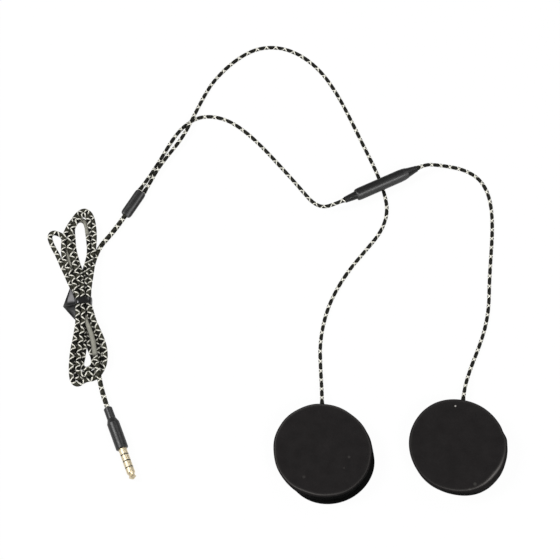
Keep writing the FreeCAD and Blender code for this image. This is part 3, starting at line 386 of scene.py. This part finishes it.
# Left branch: from the left speaker up, under the microphone bar, round and down to the splitter. A soft
# lead in a braided polyester sleeve, matt, with cream tracers among black and grey-olive yarns.
def braid(name, pitch, shift, tone):
    """Sleeve of 16 carriers, 8 each way, that go once round in pitch mm; one each way is a cream tracer.

    Carrier numbers are a = 8 (y / pitch + x) and b = 8 (y / pitch - x + shift), with UV x round the cord
    and UV y in mm, and both wander a little; two pass over, two under. Carrier 0 is the tracer, half of the
    others are black and half have the given tone. The yarns are drawn coarser than real ones, which are too
    fine to show. The attribute 'free' brings the tracers' crossings on top, 'plain' turns the sleeve light grey
    without tracers, and 'groove' paints shade into the valleys between runs.
    """
    carriers = 8.0
    tracer_width, ink_limit = 1.15, 4.6
    paint, tree = blank(name)
    uv = node(tree, "UVMap", uv_map="surface")
    turn, length = (node(tree, "SeparateXYZ", (uv,), out=axis) for axis in (0, 1))
    free, grey, groove = (node(tree, "Attribute", out="Fac", attribute_name=label)
                          for label in ("free", "plain", "groove"))
    drift, wander = (node(tree, "Math", (node(tree, "Math", (length, period), operation="DIVIDE"),),
                          operation="SINE") for period in (6.1, 23.0))
    drift = node(tree, "Math", (drift, 0.1), operation="MULTIPLY")
    wander = node(tree, "Math", (wander, 0.12), operation="MULTIPLY")
    wander = node(tree, "Math", (free, 0.45, wander), operation="MULTIPLY_ADD")
    along = node(tree, "Math", (length, pitch), operation="DIVIDE")
    along = node(tree, "Math", (along, drift), operation="ADD")
    a = node(tree, "Math", (along, turn), operation="ADD")
    a = node(tree, "Math", (a, carriers), operation="MULTIPLY")
    b = node(tree, "Math", (along, wander), operation="ADD")
    b = node(tree, "Math", (b, turn), operation="SUBTRACT")
    b = node(tree, "Math", (b, shift), operation="ADD")
    b = node(tree, "Math", (b, carriers), operation="MULTIPLY")

    floors = [node(tree, "Math", (x,), operation="FLOOR") for x in (a, b)]
    twill = node(tree, "Math", floors, operation="ADD")
    twill = node(tree, "Math", (twill, 4.0), operation="FLOORED_MODULO")
    over = node(tree, "Math", (twill, 1.5), operation="LESS_THAN")
    shares = [node(tree, "Math", (x,), operation="FRACT") for x in (a, b)]
    shares = [node(tree, "Math", (x, np.pi), operation="MULTIPLY") for x in shares]
    crowns = [node(tree, "Math", (x,), operation="SINE") for x in shares]
    turns = [node(tree, "Math", (x, carriers), operation="FLOORED_MODULO") for x in (a, b)]
    tracers = [node(tree, "Math", (x, tracer_width), operation="LESS_THAN") for x in turns]
    inks = [node(tree, "Math", (x, ink_limit), operation=side)
            for x, side in zip(turns, ("LESS_THAN", "GREATER_THAN"))]
    height, ink, top = (node(tree, "Mix", {0: over, 2: pair[1], 3: pair[0]})
                        for pair in (crowns, inks, tracers))
    cream = node(tree, "Math", tracers, operation="MAXIMUM")
    cream = node(tree, "Math", (cream, 0.7), operation="MULTIPLY")
    cream = node(tree, "Math", (top, 0.3, cream), operation="MULTIPLY_ADD")
    not_plain = node(tree, "Math", (1.0, grey), operation="SUBTRACT")
    cream = node(tree, "Math", (cream, not_plain), operation="MULTIPLY")

    spot = node(tree, "TexCoord", out="Object")
    fuzz = node(tree, "TexNoise", {"Vector": spot, "Scale": 2600.0, "Detail": 3.0, "Roughness": 0.7})
    # Painted shading: each yarn is lighter on its crown and darker at its edges.
    lit = node(tree, "Math", (fuzz, 0.2), operation="ADD")
    lit = node(tree, "Math", (height, lit), operation="MULTIPLY")
    olive, black, plain_grey = (node(tree, "Mix", {0: lit, 6: linear(low), 7: linear(high)}, out=2,
                                 data_type="RGBA")
                            for low, high in (("#1b1b16", tone), ("#050504", "#1c1c18"), ("#77766d", "#a9a89c")))
    yarn = node(tree, "Mix", {0: fuzz, 6: linear("#dad7c6"), 7: linear("#fdfcf4")}, out=2, data_type="RGBA")
    # Painted shade: the grooves between runs darken towards #030302, less on the grey stretches.
    shade = node(tree, "Math", (grey, 0.6), operation="MULTIPLY")
    shade = node(tree, "Math", (0.85, shade), operation="SUBTRACT")
    shade = node(tree, "Math", (groove, shade), operation="MULTIPLY")
    base = olive
    for share, colour in ((ink, black), (grey, plain_grey), (cream, yarn), (shade, linear("#030302"))):
        base = node(tree, "Mix", {0: share, 6: base, 7: colour}, out=2, data_type="RGBA")
    relief = node(tree, "Math", (fuzz, 0.6, height), operation="MULTIPLY_ADD")
    relief = node(tree, "Math", (cream, 0.5, relief), operation="MULTIPLY_ADD")
    bump = node(tree, "Bump", {"Height": relief, "Strength": 0.7, "Distance": 0.08 * MM})
    skin = node(tree, "BsdfPrincipled", {"Base Color": base, "Roughness": 0.8, "IOR": 1.5,
                                         "Specular IOR Level": 0.15, "Normal": bump})
    node(tree, "OutputMaterial", {"Surface": skin})
    return paint


def route(name, points):
    """Points of one open NURBS spline whose control points are given in millimetres, as Blender draws it."""
    data = bpy.data.curves.new(name, "CURVE")
    data.dimensions = "3D"
    data.resolution_u = 10
    spline = data.splines.new("NURBS")
    spline.points.add(len(points) - 1)
    control = np.ones((len(points), 4))
    control[:, :3] = np.array(points) * MM
    spline.points.foreach_set("co", control.ravel())
    spline.order_u = 3
    spline.use_endpoint_u = True
    drawn = bpy.data.objects.new(name, data)
    bpy.context.scene.collection.objects.link(drawn)
    bpy.context.view_layer.update()
    mesh = bpy.data.meshes.new_from_object(drawn.evaluated_get(bpy.context.evaluated_depsgraph_get()))
    line = np.empty(len(mesh.vertices) * 3)
    mesh.vertices.foreach_get("co", line)
    bpy.data.objects.remove(drawn)
    bpy.data.meshes.remove(mesh)
    return line.reshape(-1, 3)


def arc_lengths(line):
    """Length of the polyline up to each of its points, in metres."""
    return np.concatenate([[0.0], np.cumsum(np.linalg.norm(np.diff(line, axis=0), axis=1))])


def wrap_uv(mesh, u, v):
    """UV of a closed tube: u runs round the columns from 0 to 1, v is given for each row; caps stay at 0."""
    corners = np.empty(len(mesh.loops), np.int32)
    mesh.loops.foreach_get("vertex_index", corners)
    quads = corners[:4 * (len(v) - 1) * len(u)].reshape(-1, 4)
    around = u[quads % len(u)]
    around[:, 1:3] = np.where(around[:, 1:3] < around[:, :1], 1.0, around[:, 1:3])
    values = np.zeros((len(corners), 2))
    values[:quads.size, 0] = around.ravel()
    values[:quads.size, 1] = v[quads // len(u)].ravel()
    mesh.uv_layers.new(name="surface").data.foreach_set("uv", values.ravel())


def cord(name, line, paint, thick, squeeze=None, dye=None):
    """Tube of thick mm along the line, flared to a mouth of 2.1 mm where it enters a bush or a neck.

    At arc length s and angle t the surface is c(s) + r(s) (cos t side + sin t up), with side level and no
    point under the floor; r swells a little along the sleeve. squeeze(centre) gives a factor of r, and
    dye(mesh, points, centre, s) may mark the tube. Returns the object and its centreline.
    """
    sides, step, mouth, flare = 20, 0.4 * MM, 1.04 * MM, 1.5 * MM
    arc = arc_lengths(line)
    s = np.linspace(0.0, arc[-1], int(arc[-1] / step))
    centre = np.stack([np.interp(s, arc, line[:, k]) for k in range(3)], 1)
    heading = np.gradient(centre, axis=0)
    heading /= np.linalg.norm(heading, axis=1, keepdims=True)
    side = np.stack([-heading[:, 1], heading[:, 0], np.zeros(len(s))], 1)
    side /= np.linalg.norm(side, axis=1, keepdims=True)
    up = np.cross(heading, side)
    rng = np.random.default_rng(len(name))
    swell = -0.02
    for share, period in ((0.02, 3.1), (0.015, 1.3)):
        swell = swell + share * np.sin(s / (period * MM) + rng.uniform(0, 6))
    radius = 0.5 * thick * MM * (1.0 + swell)
    for rest in (s, arc[-1] - s):
        radius += (mouth - 0.5 * thick * MM) * np.exp(-(rest / flare) ** 2)
    if squeeze:
        radius = radius * squeeze(centre)
    turn = np.arange(sides) / sides
    angle = 2.0 * np.pi * turn
    ring = np.cos(angle)[None, :, None] * side[:, None] + np.sin(angle)[None, :, None] * up[:, None]
    points = centre[:, None] + radius[:, None, None] * ring
    points[..., 2] = points[..., 2].clip(0.0)
    mesh = grid_mesh(name, points, caps=True)
    wrap_uv(mesh, turn, s / MM)
    if dye:
        dye(mesh, points, centre, s)
    return place(name, mesh, paint), centre


branch_braid = braid("braided_sleeve", 4.3, 0.46, "#2c2c26")
left_line = route("left_route", [
    (-28.25, 20.1, 3.55), (-28.25, 26.1, 3.3), (-28.8, 37.8, 0.8), (-29.0, 49.6, 0.8), (-26.4, 62.8, 0.8),
    (-21.9, 73.3, 0.8), (-15.9, 83.0, 0.8), (-8.8, 91.7, 0.8), (-2.3, 100.1, 0.8), (0.5, 109.2, 0.8),
    (-1.0, 118.2, 0.8), (-4.3, 127.8, 0.8), (-9.2, 138.7, 0.8), (-14.8, 151.3, 0.8), (-20.6, 163.7, 0.8),
    (-27.8, 175.2, 0.8), (-36.8, 183.2, 0.8), (-46.4, 187.0, 0.8), (-56.7, 186.2, 0.8), (-66.4, 179.9, 0.8),
    (-74.6, 171.1, 0.8), (-78.8, 163.8, 0.8), (-82.2, 156.0, 1.9), (-84.8, 150.0, 2.6), (-87.5, 144.4, 2.5),
    (-91.3, 138.8, 2.2), (-95.6, 133.1, 2.2), (-99.4, 127.3, 2.2), (-101.8, 122.4, 1.6),
    (-104.61, 117.62, 1.45)])
left_cord, left_path = cord("left_branch", left_line, branch_braid, 1.6)
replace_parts(left_cord, "left_cord")

# Middle branch: the same cord, from the splitter beside the left one, under it, and along to the bar's
# left neck, where it is moulded in.
module_line = route("module_route", [
    (-106.47, 118.78, 1.45), (-103.1, 124.1, 0.9), (-99.7, 129.7, 0.8), (-96.0, 136.4, 0.8), (-92.5, 142.8, 0.8),
    (-88.3, 148.6, 0.8), (-82.0, 153.3, 0.8), (-75.0, 153.9, 0.8), (-67.7, 151.6, 0.8), (-60.4, 146.2, 0.8),
    (-53.1, 138.8, 0.8), (-45.9, 130.4, 0.8), (-40.0, 123.4, 0.8), (-35.7, 118.0, 0.8), (-31.7, 113.0, 1.1),
    (-27.2, 110.3, 2.7), (-21.97, 111.3, 4.7), (-18.08, 113.13, 4.7)])
module_cord, module_path = cord("module_branch", module_line, branch_braid, 1.6)
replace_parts(module_cord, "module_cord")

# Right branch: the same cord, from the right speaker up and round to the bar's right neck, where it is
# moulded in too.
right_line = route("right_route", [
    (30.97, 21.72, 3.55), (31.6, 27.7, 3.3), (34.7, 37.9, 0.8), (38.1, 46.4, 0.8), (41.2, 55.6, 0.8),
    (43.0, 65.5, 0.8), (43.4, 76.8, 0.8), (44.3, 88.1, 0.8), (45.2, 99.3, 0.8), (45.2, 109.7, 0.8),
    (43.6, 118.4, 0.8), (39.8, 124.8, 0.8), (33.7, 128.6, 0.8), (27.2, 130.0, 1.2), (21.7, 130.0, 3.0),
    (16.94, 129.61, 4.7), (13.05, 127.77, 4.7)])
right_cord, right_path = cord("right_branch", right_line, branch_braid, 1.6)
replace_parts(right_cord, "right_cord")


# Microphone bar: a roof-shaped housing of satin moulded plastic in two shells, its ridge nearer to the
# front, with a highlight painted along the front slope below the ridge, on two cord necks. The board and the
# capsule inside are the CAD's.
def loft(name, replaced, outline, stations, highlight_band=None):
    """Closed skin through scaled copies of one outline, along the bar's axis, capped at both ends.

    outline lists (across, up) corners in mm about the axis; stations lists (along, width factor, height
    factor). Three Chaikin cuts round the corners: q = 3/4 p0 + 1/4 p1 and 1/4 p0 + 3/4 p1.
    An optional function of (across, up) gives each ring point's share of painted highlight.
    """
    centre, bearing = (-2.2, 120.6, 4.7), np.radians(25.2)
    ring = np.array(outline, float)
    for _ in range(3):
        after = np.roll(ring, -1, 0)
        ring = np.stack([0.75 * ring + 0.25 * after, 0.25 * ring + 0.75 * after], 1).reshape(-1, 2)
    ring = ring[::-1]
    spots = np.array(stations, float)
    fine = np.linspace(spots[0, 0], spots[-1, 0], 60)
    fine = np.unique(np.concatenate([fine, spots[:, 0], spots[:, 0] + 0.05, spots[:, 0] - 0.05]))
    fine = fine[(fine >= spots[0, 0]) & (fine <= spots[-1, 0])]
    wide, tall = (np.interp(fine, spots[:, 0], spots[:, k]) for k in (1, 2))
    x = np.repeat(fine[:, None], len(ring), 1)
    y = wide[:, None] * ring[:, 0]
    z = tall[:, None] * ring[:, 1] + centre[2]
    points = np.stack([centre[0] + x * np.cos(bearing) - y * np.sin(bearing),
                       centre[1] + x * np.sin(bearing) + y * np.cos(bearing), z], -1) * MM
    mesh = grid_mesh(name, points, caps=True)
    if highlight_band:
        mark(mesh, "painted_highlight", points, highlight_band(ring[:, 0], ring[:, 1]))
    made = place(name, mesh, satin_plastic)
    made.modifiers.new("edge", "EDGE_SPLIT").split_angle = np.radians(50.0)
    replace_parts(made, replaced)


satin_plastic = finish("satin_moulded_plastic", "#060606", "#0d0d0d", 0.42, specular=0.4)
roof = [(-2.55, -0.25), (-2.6, -0.25), (-2.6, -0.2), (-2.5, 0.4), (-2.2, 1.15), (-1.85, 1.7), (-1.4, 2.1),
        (-0.85, 2.3), (-0.2, 2.3), (0.7, 2.15), (1.3, 2.0), (1.9, 1.6), (2.4, 0.9), (2.6, -0.2), (2.6, -0.25),
        (2.55, -0.25)]
belly = [(2.55, -0.35), (2.6, -0.35), (2.6, -0.4), (2.5, -1.6), (2.2, -2.1), (1.8, -2.3), (-1.8, -2.3),
         (-2.2, -2.1), (-2.5, -1.6), (-2.6, -0.4), (-2.6, -0.35), (-2.55, -0.35)]
throat = [(-1.7, -0.9), (-1.75, 0.2), (-1.0, 1.4), (-0.4, 1.5), (0.9, 1.3), (1.7, 0.3), (1.7, -0.9),
          (1.0, -1.5), (-1.0, -1.5)]
trunk = [(-12.15, 0.86, 0.86), (-11.5, 0.97, 0.98), (-10.0, 1.0, 1.0), (8.5, 1.0, 1.0), (10.5, 0.95, 0.97),
         (12.15, 0.84, 0.84)]
# The roof's front slope below the ridge gets a painted highlight.
loft("microphone_roof", "mic_upper_shell", roof, trunk,
     lambda across, up: 0.6 * np.exp(-((across + 1.5) / 0.65) ** 2) * (up > 0.4))
loft("microphone_belly", "mic_lower_shell", belly, trunk)
loft("microphone_left_neck", "mic_left_neck", throat,
     [(-17.55, 0.76, 0.8), (-17.2, 0.8, 0.85), (-14.0, 0.97, 1.0), (-12.0, 1.05, 1.08)])
loft("microphone_right_neck", "mic_right_neck", throat,
     [(12.0, 1.26, 1.25), (13.6, 1.1, 1.1), (15.6, 0.86, 0.88), (16.6, 0.78, 0.8), (16.85, 0.7, 0.74)])
dress("capsule_steel", finish("brushed_capsule_can", "#9a9c9e", "#c2c3c4", 0.3, metal=1.0))

# Splitter: a moulding of the bar's plastic, shot round the three cords, with two lobes that run together
# towards the main cord. Round t, y = half_width e cos^0.55 t and z = half_height (1 + (0.6 + 0.4 e)
# sin^0.9 t), where e falls to 0 at the ends; a groove parts the lobes, and a highlight is painted along their
# crests.
half_length, half_width, half_height = 6.6, 2.4, 1.45
groove_depth, groove_half, groove_start, groove_fade = 1.0, 0.7, -2.4, 0.7
crest_place, crest_spread = 1.15, 0.5
bearing = np.radians(58.0)
t = 2.0 * np.pi * np.arange(64) / 64
x = half_length * np.sin(np.linspace(-0.5 * np.pi, 0.5 * np.pi, 90))
end = (1.0 - np.abs(x / half_length) ** 12.0).clip(0.02) ** 0.25
across = np.sign(np.cos(t)) * np.abs(np.cos(t)) ** 0.55
rise = np.sign(np.sin(t)) * np.abs(np.sin(t)) ** 0.9
y = half_width * end[:, None] * across
z = half_height + half_height * (0.6 + 0.4 * end[:, None]) * rise
fade = 1.0 / (1.0 + np.exp(-(x - groove_start) / groove_fade))
z = z - groove_depth * fade[:, None] * np.exp(-(np.abs(y) / groove_half) ** 1.5) * (rise > 0.0)
points = np.stack([-109.0 + x[:, None] * np.cos(bearing) - y * np.sin(bearing),
                   112.65 + x[:, None] * np.sin(bearing) + y * np.cos(bearing), z.clip(0.0)], -1) * MM
mesh = grid_mesh("splitter_moulding", points, caps=True)
# Painted highlight along the lobes' crests, stronger on the lobe at negative y.
crest_highlight = np.exp(-((np.abs(y) - crest_place) / crest_spread) ** 2) * (rise > 0.2)
mark(mesh, "painted_highlight", points, crest_highlight * np.where(y < 0.0, 0.75, 0.3))
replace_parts(place("splitter_moulding", mesh, satin_plastic), "cord_splitter")

# Tie: a strap of glossy vinyl drawn round the hank's waist. Its band is a rounded rectangle, y = band_half
# cos^0.5 a and z = band_middle + band_height sin^0.55 a, which swells a little in the strap's middle.
band_half, band_height, band_middle, band_mean = 3.4, 3.2, 3.1, 3.3
around = np.linspace(0.0, 2.0 * np.pi, 97)
path_y = band_half * np.sign(np.cos(around)) * np.abs(np.cos(around)) ** 0.5
path_z = band_middle + band_height * np.sign(np.sin(around)) * np.abs(np.sin(around)) ** 0.55
strap_half, swell, lean, floor_gap = 1.4, 0.12, 0.12, 0.22
width = np.linspace(-strap_half, strap_half, 9)
puff = 1.0 + swell * (1.0 - (width / strap_half) ** 2) / band_mean
bearing = np.radians(-4.0)
u = path_y[:, None] * puff
v = width[None, :] + lean * path_y[:, None]
w = np.clip(band_middle + (path_z[:, None] - band_middle) * puff, floor_gap, None)
points = np.stack([-129.45 + u * np.cos(bearing) - v * np.sin(bearing),
                   66.5 + u * np.sin(bearing) + v * np.cos(bearing), w], -1) * MM
glossy_vinyl = finish("glossy_vinyl_strap", "#0b0b0b", "#131313", 0.22)
strap = place("strap_band", grid_mesh("strap_band", points, closed=False), glossy_vinyl)
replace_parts(strap, "cord_tie")

# Ear: the strap's end, folded over into a point beside the band. Creased vinyl: its upper facet catches the
# light, which is painted in as a highlight. Rows run along the fold, columns from the rim to the band.
ear_paint, tree = blank("creased_vinyl")
spot = node(tree, "TexCoord", out="Object")
grain = node(tree, "TexNoise", {"Vector": spot, "Scale": 700.0, "Detail": 4.0})
lit = node(tree, "Math", (grain, 0.45), operation="ADD")
lit = node(tree, "Math", (node(tree, "Attribute", out="Fac", attribute_name="painted_highlight"), lit), operation="MULTIPLY")
tone = node(tree, "Mix", {0: lit, 6: linear("#060606"), 7: linear("#7d7c7e")}, out=2, data_type="RGBA")
bump = node(tree, "Bump", {"Height": grain, "Strength": 0.4, "Distance": 0.03 * MM})
skin = node(tree, "BsdfPrincipled", {"Base Color": tone, "Roughness": 0.35, "IOR": 1.5,
                                     "Specular IOR Level": 0.15, "Normal": bump})
node(tree, "OutputMaterial", {"Surface": skin})
row = np.linspace(0.0, 2.0, 61)[:, None]
across = np.linspace(0.0, 1.0, 31)[None, :]
outer = np.array([(-135.1, 72.5, 4.8), (-138.1, 65.0, 2.2), (-132.9, 58.6, 3.6)])
inner = np.array([(-134.2, 70.6, 5.4), (-132.5, 65.3, 4.2), (-132.2, 61.4, 4.4)])
rim, root = (np.stack([np.interp(row[:, 0], (0, 1, 2), side[:, k]) for k in range(3)], -1)[:, None]
             for side in (outer, inner))
points = rim * (1.0 - across[..., None]) + root * across[..., None]
ear_swell, crease, crease_fade, rim_clear, rim_fade, lower_share = 0.25, 0.16, 0.14, 0.2, 0.12, 0.12
points[..., 2] += ear_swell * np.sin(np.pi * across) * np.abs(np.sin(np.pi * row))
mesh = grid_mesh("strap_ear", points * MM, closed=False)
fold = np.abs(row - 1.0)
# The painted highlight lies on the upper facet, off the crease and the rim; the lower facet keeps a little.
facet = np.clip((fold - crease) / crease_fade, 0.0, 1.0) * np.clip((across - rim_clear) / rim_fade, 0.0, 1.0)
facet = facet * np.where(row < 1.0, 1.0, lower_share) * (0.35 + 0.65 * np.clip(1.3 - fold, 0.0, 1.0))
mark(mesh, "painted_highlight", points, facet)
ear = place("strap_ear", mesh, ear_paint)
for piece, vinyl in ((strap, 0.4 * MM), (ear, 0.5 * MM)):
    thick = piece.modifiers.new("thickness", "SOLIDIFY")
    thick.thickness = vinyl
    thick.offset = 0.0

# Plug: the CAD's own pieces. A satin moulded sleeve, and turned contacts of pale gilt brass, dull from use,
# with black rings of insulator between them.
dress("plug_black", finish("satin_plug_sleeve", "#090909", "#121212", 0.44, specular=0.6))
dress("gilt_brass", finish("pale_gilt_brass", "#cdbd9b", "#ebdfc4", 0.5, metal=1.0))
dress("insulator_black", finish("black_insulator", "#0a0a0a", "#141414", 0.4))

# Main cord: a thicker cord of the same make, out of the splitter, through nine runs of the hank that the tie
# pinches, and out to the plug. The control points follow the runs in the photograph.
main_line = route("main_route", [
    (-112.16, 107.6, 1.45), (-114.71, 103.53, 1.45), (-118.5, 98.4, 1.05), (-122.1, 94.1, 1.05),
    # run 1 down, right outside
    (-123.7, 91.0, 1.5), (-124.9, 87.5, 2.6), (-125.9, 83.6, 3.2), (-126.3, 79.7, 3.6),
    (-126.7, 75.6, 4.2), (-127.2, 70.9, 4.75), (-127.6, 67.1, 4.75), (-127.2, 63.4, 4.6),
    (-125.9, 60.0, 4.4), (-124.1, 56.4, 4.2), (-122.3, 52.7, 3.4), (-120.8, 48.9, 3.0),
    (-119.8, 44.8, 3.0), (-119.7, 41.1, 3.0), (-120.2, 38.2, 2.6), (-121.4, 35.9, 1.8),
    # fold 1 and run 2 up, left outside
    (-123.0, 33.9, 1.05), (-125.3, 32.9, 1.05), (-127.7, 32.6, 1.05), (-129.2, 31.8, 1.05),
    (-130.4, 30.8, 1.05), (-131.7, 30.5, 1.05), (-132.9, 31.2, 1.05), (-133.6, 32.4, 1.3),
    (-133.9, 33.9, 1.8), (-134.0, 36.0, 2.3), (-134.1, 39.0, 2.7), (-133.9, 42.9, 2.9),
    (-133.2, 47.6, 2.95), (-132.5, 51.8, 3.1), (-131.7, 56.7, 3.7), (-131.7, 61.9, 4.5),
    (-131.8, 67.1, 4.75), (-132.3, 70.2, 4.6), (-133.0, 73.4, 4.1), (-134.0, 77.0, 3.5),
    (-135.3, 80.2, 3.2), (-136.8, 83.1, 3.1), (-138.0, 86.1, 3.1), (-138.6, 89.2, 3.1),
    (-138.6, 92.1, 3.1), (-138.6, 94.5, 3.15),
    # turn 1 over the top and run 3 down
    (-138.0, 97.4, 3.2), (-136.7, 101.1, 2.7), (-134.8, 104.6, 1.9), (-132.8, 107.9, 1.3),
    (-130.3, 109.8, 1.05), (-127.8, 108.5, 1.3), (-126.3, 104.9, 2.2), (-125.6, 100.5, 3.1),
    (-125.3, 96.7, 3.2), (-125.4, 92.0, 3.3), (-125.9, 88.0, 3.4), (-126.9, 84.1, 3.2),
    (-127.6, 80.2, 3.3), (-128.3, 75.6, 3.3), (-129.0, 71.1, 3.1), (-129.1, 67.7, 3.1),
    (-128.2, 63.1, 3.2), (-127.0, 59.9, 3.1), (-125.7, 56.5, 2.8), (-124.0, 52.7, 1.4),
    (-123.0, 47.7, 1.05), (-122.7, 44.0, 1.05),
    # fold 2 and run 4 up
    (-122.9, 40.5, 1.05), (-123.4, 37.5, 1.05), (-124.8, 35.0, 1.05), (-127.1, 33.9, 1.05),
    (-129.4, 33.0, 1.05), (-131.2, 33.0, 1.05), (-132.7, 34.4, 1.05), (-133.1, 36.8, 1.05),
    (-133.0, 41.4, 1.05), (-132.7, 46.6, 1.05), (-131.9, 52.6, 1.05), (-131.7, 57.8, 1.4),
    (-131.3, 62.6, 2.5), (-131.0, 67.7, 3.1), (-131.2, 70.7, 3.1), (-131.4, 74.2, 3.0),
    (-131.9, 77.6, 3.1), (-132.7, 80.8, 3.1), (-133.7, 84.1, 3.1), (-134.6, 87.2, 3.0),
    (-135.6, 90.4, 3.1),
    # turn 2 over the top and run 5 down
    (-136.4, 93.6, 3.15), (-136.1, 96.5, 3.15), (-135.2, 99.3, 3.2), (-134.2, 101.8, 3.3),
    (-132.9, 104.0, 3.4), (-131.7, 105.7, 3.4), (-130.5, 106.7, 3.4), (-129.2, 106.4, 3.4),
    (-128.3, 105.3, 3.2), (-127.8, 103.6, 3.2), (-127.4, 101.3, 2.5), (-126.8, 99.1, 1.5),
    (-126.2, 96.0, 1.05), (-126.1, 92.1, 1.05), (-126.3, 87.9, 1.05), (-126.6, 84.5, 1.05),
    (-127.0, 80.5, 1.4), (-127.1, 76.4, 2.1), (-127.2, 71.6, 2.9), (-127.3, 67.7, 3.1),
    (-126.3, 63.5, 2.2), (-125.2, 60.1, 1.3), (-124.1, 56.8, 1.05), (-122.3, 52.6, 1.05),
    (-121.3, 48.5, 1.05), (-120.8, 44.4, 1.05),
    # fold 3 and run 6 up
    (-120.9, 41.3, 1.3), (-121.3, 38.1, 2.3), (-122.8, 36.0, 2.9), (-124.9, 34.8, 3.0),
    (-127.2, 34.5, 3.0), (-129.0, 34.2, 2.9), (-130.6, 34.9, 2.9), (-131.3, 36.4, 2.9),
    (-131.3, 38.2, 2.8), (-131.1, 41.2, 2.6), (-130.7, 46.1, 2.5), (-130.1, 52.1, 2.6),
    (-129.6, 57.0, 3.4), (-129.5, 62.0, 4.3), (-129.9, 67.1, 4.75), (-130.0, 70.2, 4.5),
    (-130.0, 73.6, 3.7), (-130.4, 77.9, 2.2), (-131.0, 81.5, 1.3), (-132.2, 84.8, 1.05),
    (-133.2, 87.9, 1.05), (-134.0, 91.0, 1.05), (-134.4, 94.0, 1.05),
    # turn 3 over the top and run 7 down
    (-134.6, 97.1, 1.05), (-134.9, 99.8, 1.05), (-134.6, 102.4, 1.05), (-133.7, 104.2, 1.05),
    (-132.3, 105.1, 1.05), (-130.8, 105.1, 1.05), (-129.5, 104.0, 1.05), (-128.8, 102.0, 1.05),
    (-128.4, 99.0, 1.05), (-127.9, 94.9, 1.05), (-127.5, 90.9, 1.05), (-128.0, 86.9, 1.05),
    (-129.5, 81.6, 1.05), (-128.9, 76.0, 1.3), (-128.2, 68.3, 1.45), (-127.7, 62.4, 1.2),
    (-127.4, 57.5, 1.05), (-127.3, 53.1, 1.05), (-127.1, 49.4, 1.05), (-126.7, 46.7, 1.05),
    (-125.8, 44.8, 1.05),
    # fold 4 and run 8 up, left edge
    (-125.0, 42.5, 1.05), (-124.8, 40.3, 1.05), (-125.1, 38.8, 1.05), (-126.0, 37.8, 1.05),
    (-127.4, 37.1, 1.05), (-129.0, 37.4, 1.05), (-129.8, 38.8, 1.05), (-129.6, 40.8, 1.05),
    (-129.2, 42.9, 1.05), (-129.1, 44.6, 1.05), (-128.8, 47.0, 1.05), (-128.5, 49.7, 1.05),
    (-128.3, 53.4, 1.05), (-128.6, 57.9, 1.05), (-129.9, 62.8, 1.15), (-131.4, 66.5, 1.35),
    (-132.5, 69.1, 1.45), (-133.5, 71.4, 1.4), (-134.7, 74.3, 1.25), (-136.1, 77.4, 1.15),
    (-137.4, 80.7, 1.05), (-138.9, 83.7, 1.05), (-140.1, 86.7, 1.05), (-141.5, 89.8, 1.05),
    (-143.0, 92.4, 1.05), (-144.0, 94.8, 1.05),
    # side loop and run 9 down
    (-144.6, 96.7, 1.05), (-144.5, 98.0, 1.05), (-143.8, 99.0, 1.05), (-142.4, 99.3, 1.05),
    (-140.9, 98.7, 1.05), (-139.5, 98.0, 1.05), (-138.1, 95.8, 1.05), (-137.4, 93.0, 1.15),
    (-136.9, 90.0, 1.6), (-136.3, 86.9, 1.8), (-135.5, 83.8, 1.7), (-134.1, 80.8, 1.6),
    (-132.9, 77.5, 1.4), (-131.9, 74.4, 1.4), (-130.8, 71.4, 1.4), (-130.1, 68.3, 1.45),
    (-129.2, 63.7, 1.7), (-128.5, 60.4, 2.4), (-127.5, 56.8, 2.95), (-125.9, 52.6, 3.05),
    (-124.9, 48.4, 3.0), (-124.3, 44.2, 3.1), (-123.6, 40.3, 3.6),
    # out of the hank to the plug
    (-122.9, 36.8, 4.3), (-122.4, 34.3, 4.1), (-121.9, 31.6, 2.8), (-121.2, 28.4, 1.9),
    (-119.86, 23.45, 2.65), (-118.4, 19.4, 2.65)])


def pinch(centre):
    """Radius factor: 0.92 at the tie, 1 from 5 mm away, 1.08 in the lower folds, where the sleeve bulges."""
    tie_y, tie_reach, change = 67.6, 5.0, 0.08
    fold_x, fold_y, fade_x, fade_y = -123.5, 40.0, 1.5, 3.0
    x, y = centre[:, 0] / MM, centre[:, 1] / MM
    waist = np.clip(1.0 - np.abs(y - tie_y) / tie_reach, 0.0, 1.0)
    fold = np.clip((fold_y - y) / fade_y, 0.0, 1.0) * np.clip((fold_x - x) / fade_x, 0.0, 1.0)
    return 1.0 - change * waist + change * fold


def tint(mesh, points, centre, s):
    """Marks the plain grey stretches, painted shade in the grooves between runs, and the free ends.

    The painted shade's share goes from 0 at 1.75 mm from another run's centreline to 1 at 1.15 mm. Plain
    stretches are given as (start, end) in mm along the cord: the inner crescent and two straight runs.
    """
    plain_fade, own_run, open_gap, shut_gap = 1.5, 5.0 * MM, 1.75 * MM, 1.15 * MM
    free_length, free_fade = 23.0 * MM, 6.0 * MM
    along = arc_lengths(centre) / MM
    plain = np.zeros(len(along))
    for start, end in ((488.0, 501.0), (637.5, 651.0), (667.0, 693.0)):
        plain = np.maximum(plain, np.clip(np.minimum(along - start, end - along) / plain_fade, 0.0, 1.0))
    mark(mesh, "plain", points, plain[:, None])
    # Painted shade: a crude occlusion, judged from the nearest other run's centreline.
    other = np.abs(s[:, None] - s[None, :]) > own_run
    groove = np.zeros(points.shape[:2])
    for k in range(points.shape[1]):
        gap = np.linalg.norm(points[:, k, None] - centre[None], axis=2)
        groove[:, k] = (open_gap - np.where(other, gap, 1.0).min(1)) / (open_gap - shut_gap)
    mark(mesh, "groove", points, groove.clip(0.0, 1.0))
    free = np.clip((free_length - np.minimum(s, s[-1] - s)) / free_fade, 0.0, 1.0)
    mark(mesh, "free", points, free[:, None])


main_cord, main_path = cord("main_lead", main_line, braid("braided_sleeve_main", 4.0, 0.03, "#4c4b3e"), 2.1,
                            squeeze=pinch, dye=tint)
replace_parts(main_cord, "main_cord_upper", "main_cord_hank", "main_cord_lower")
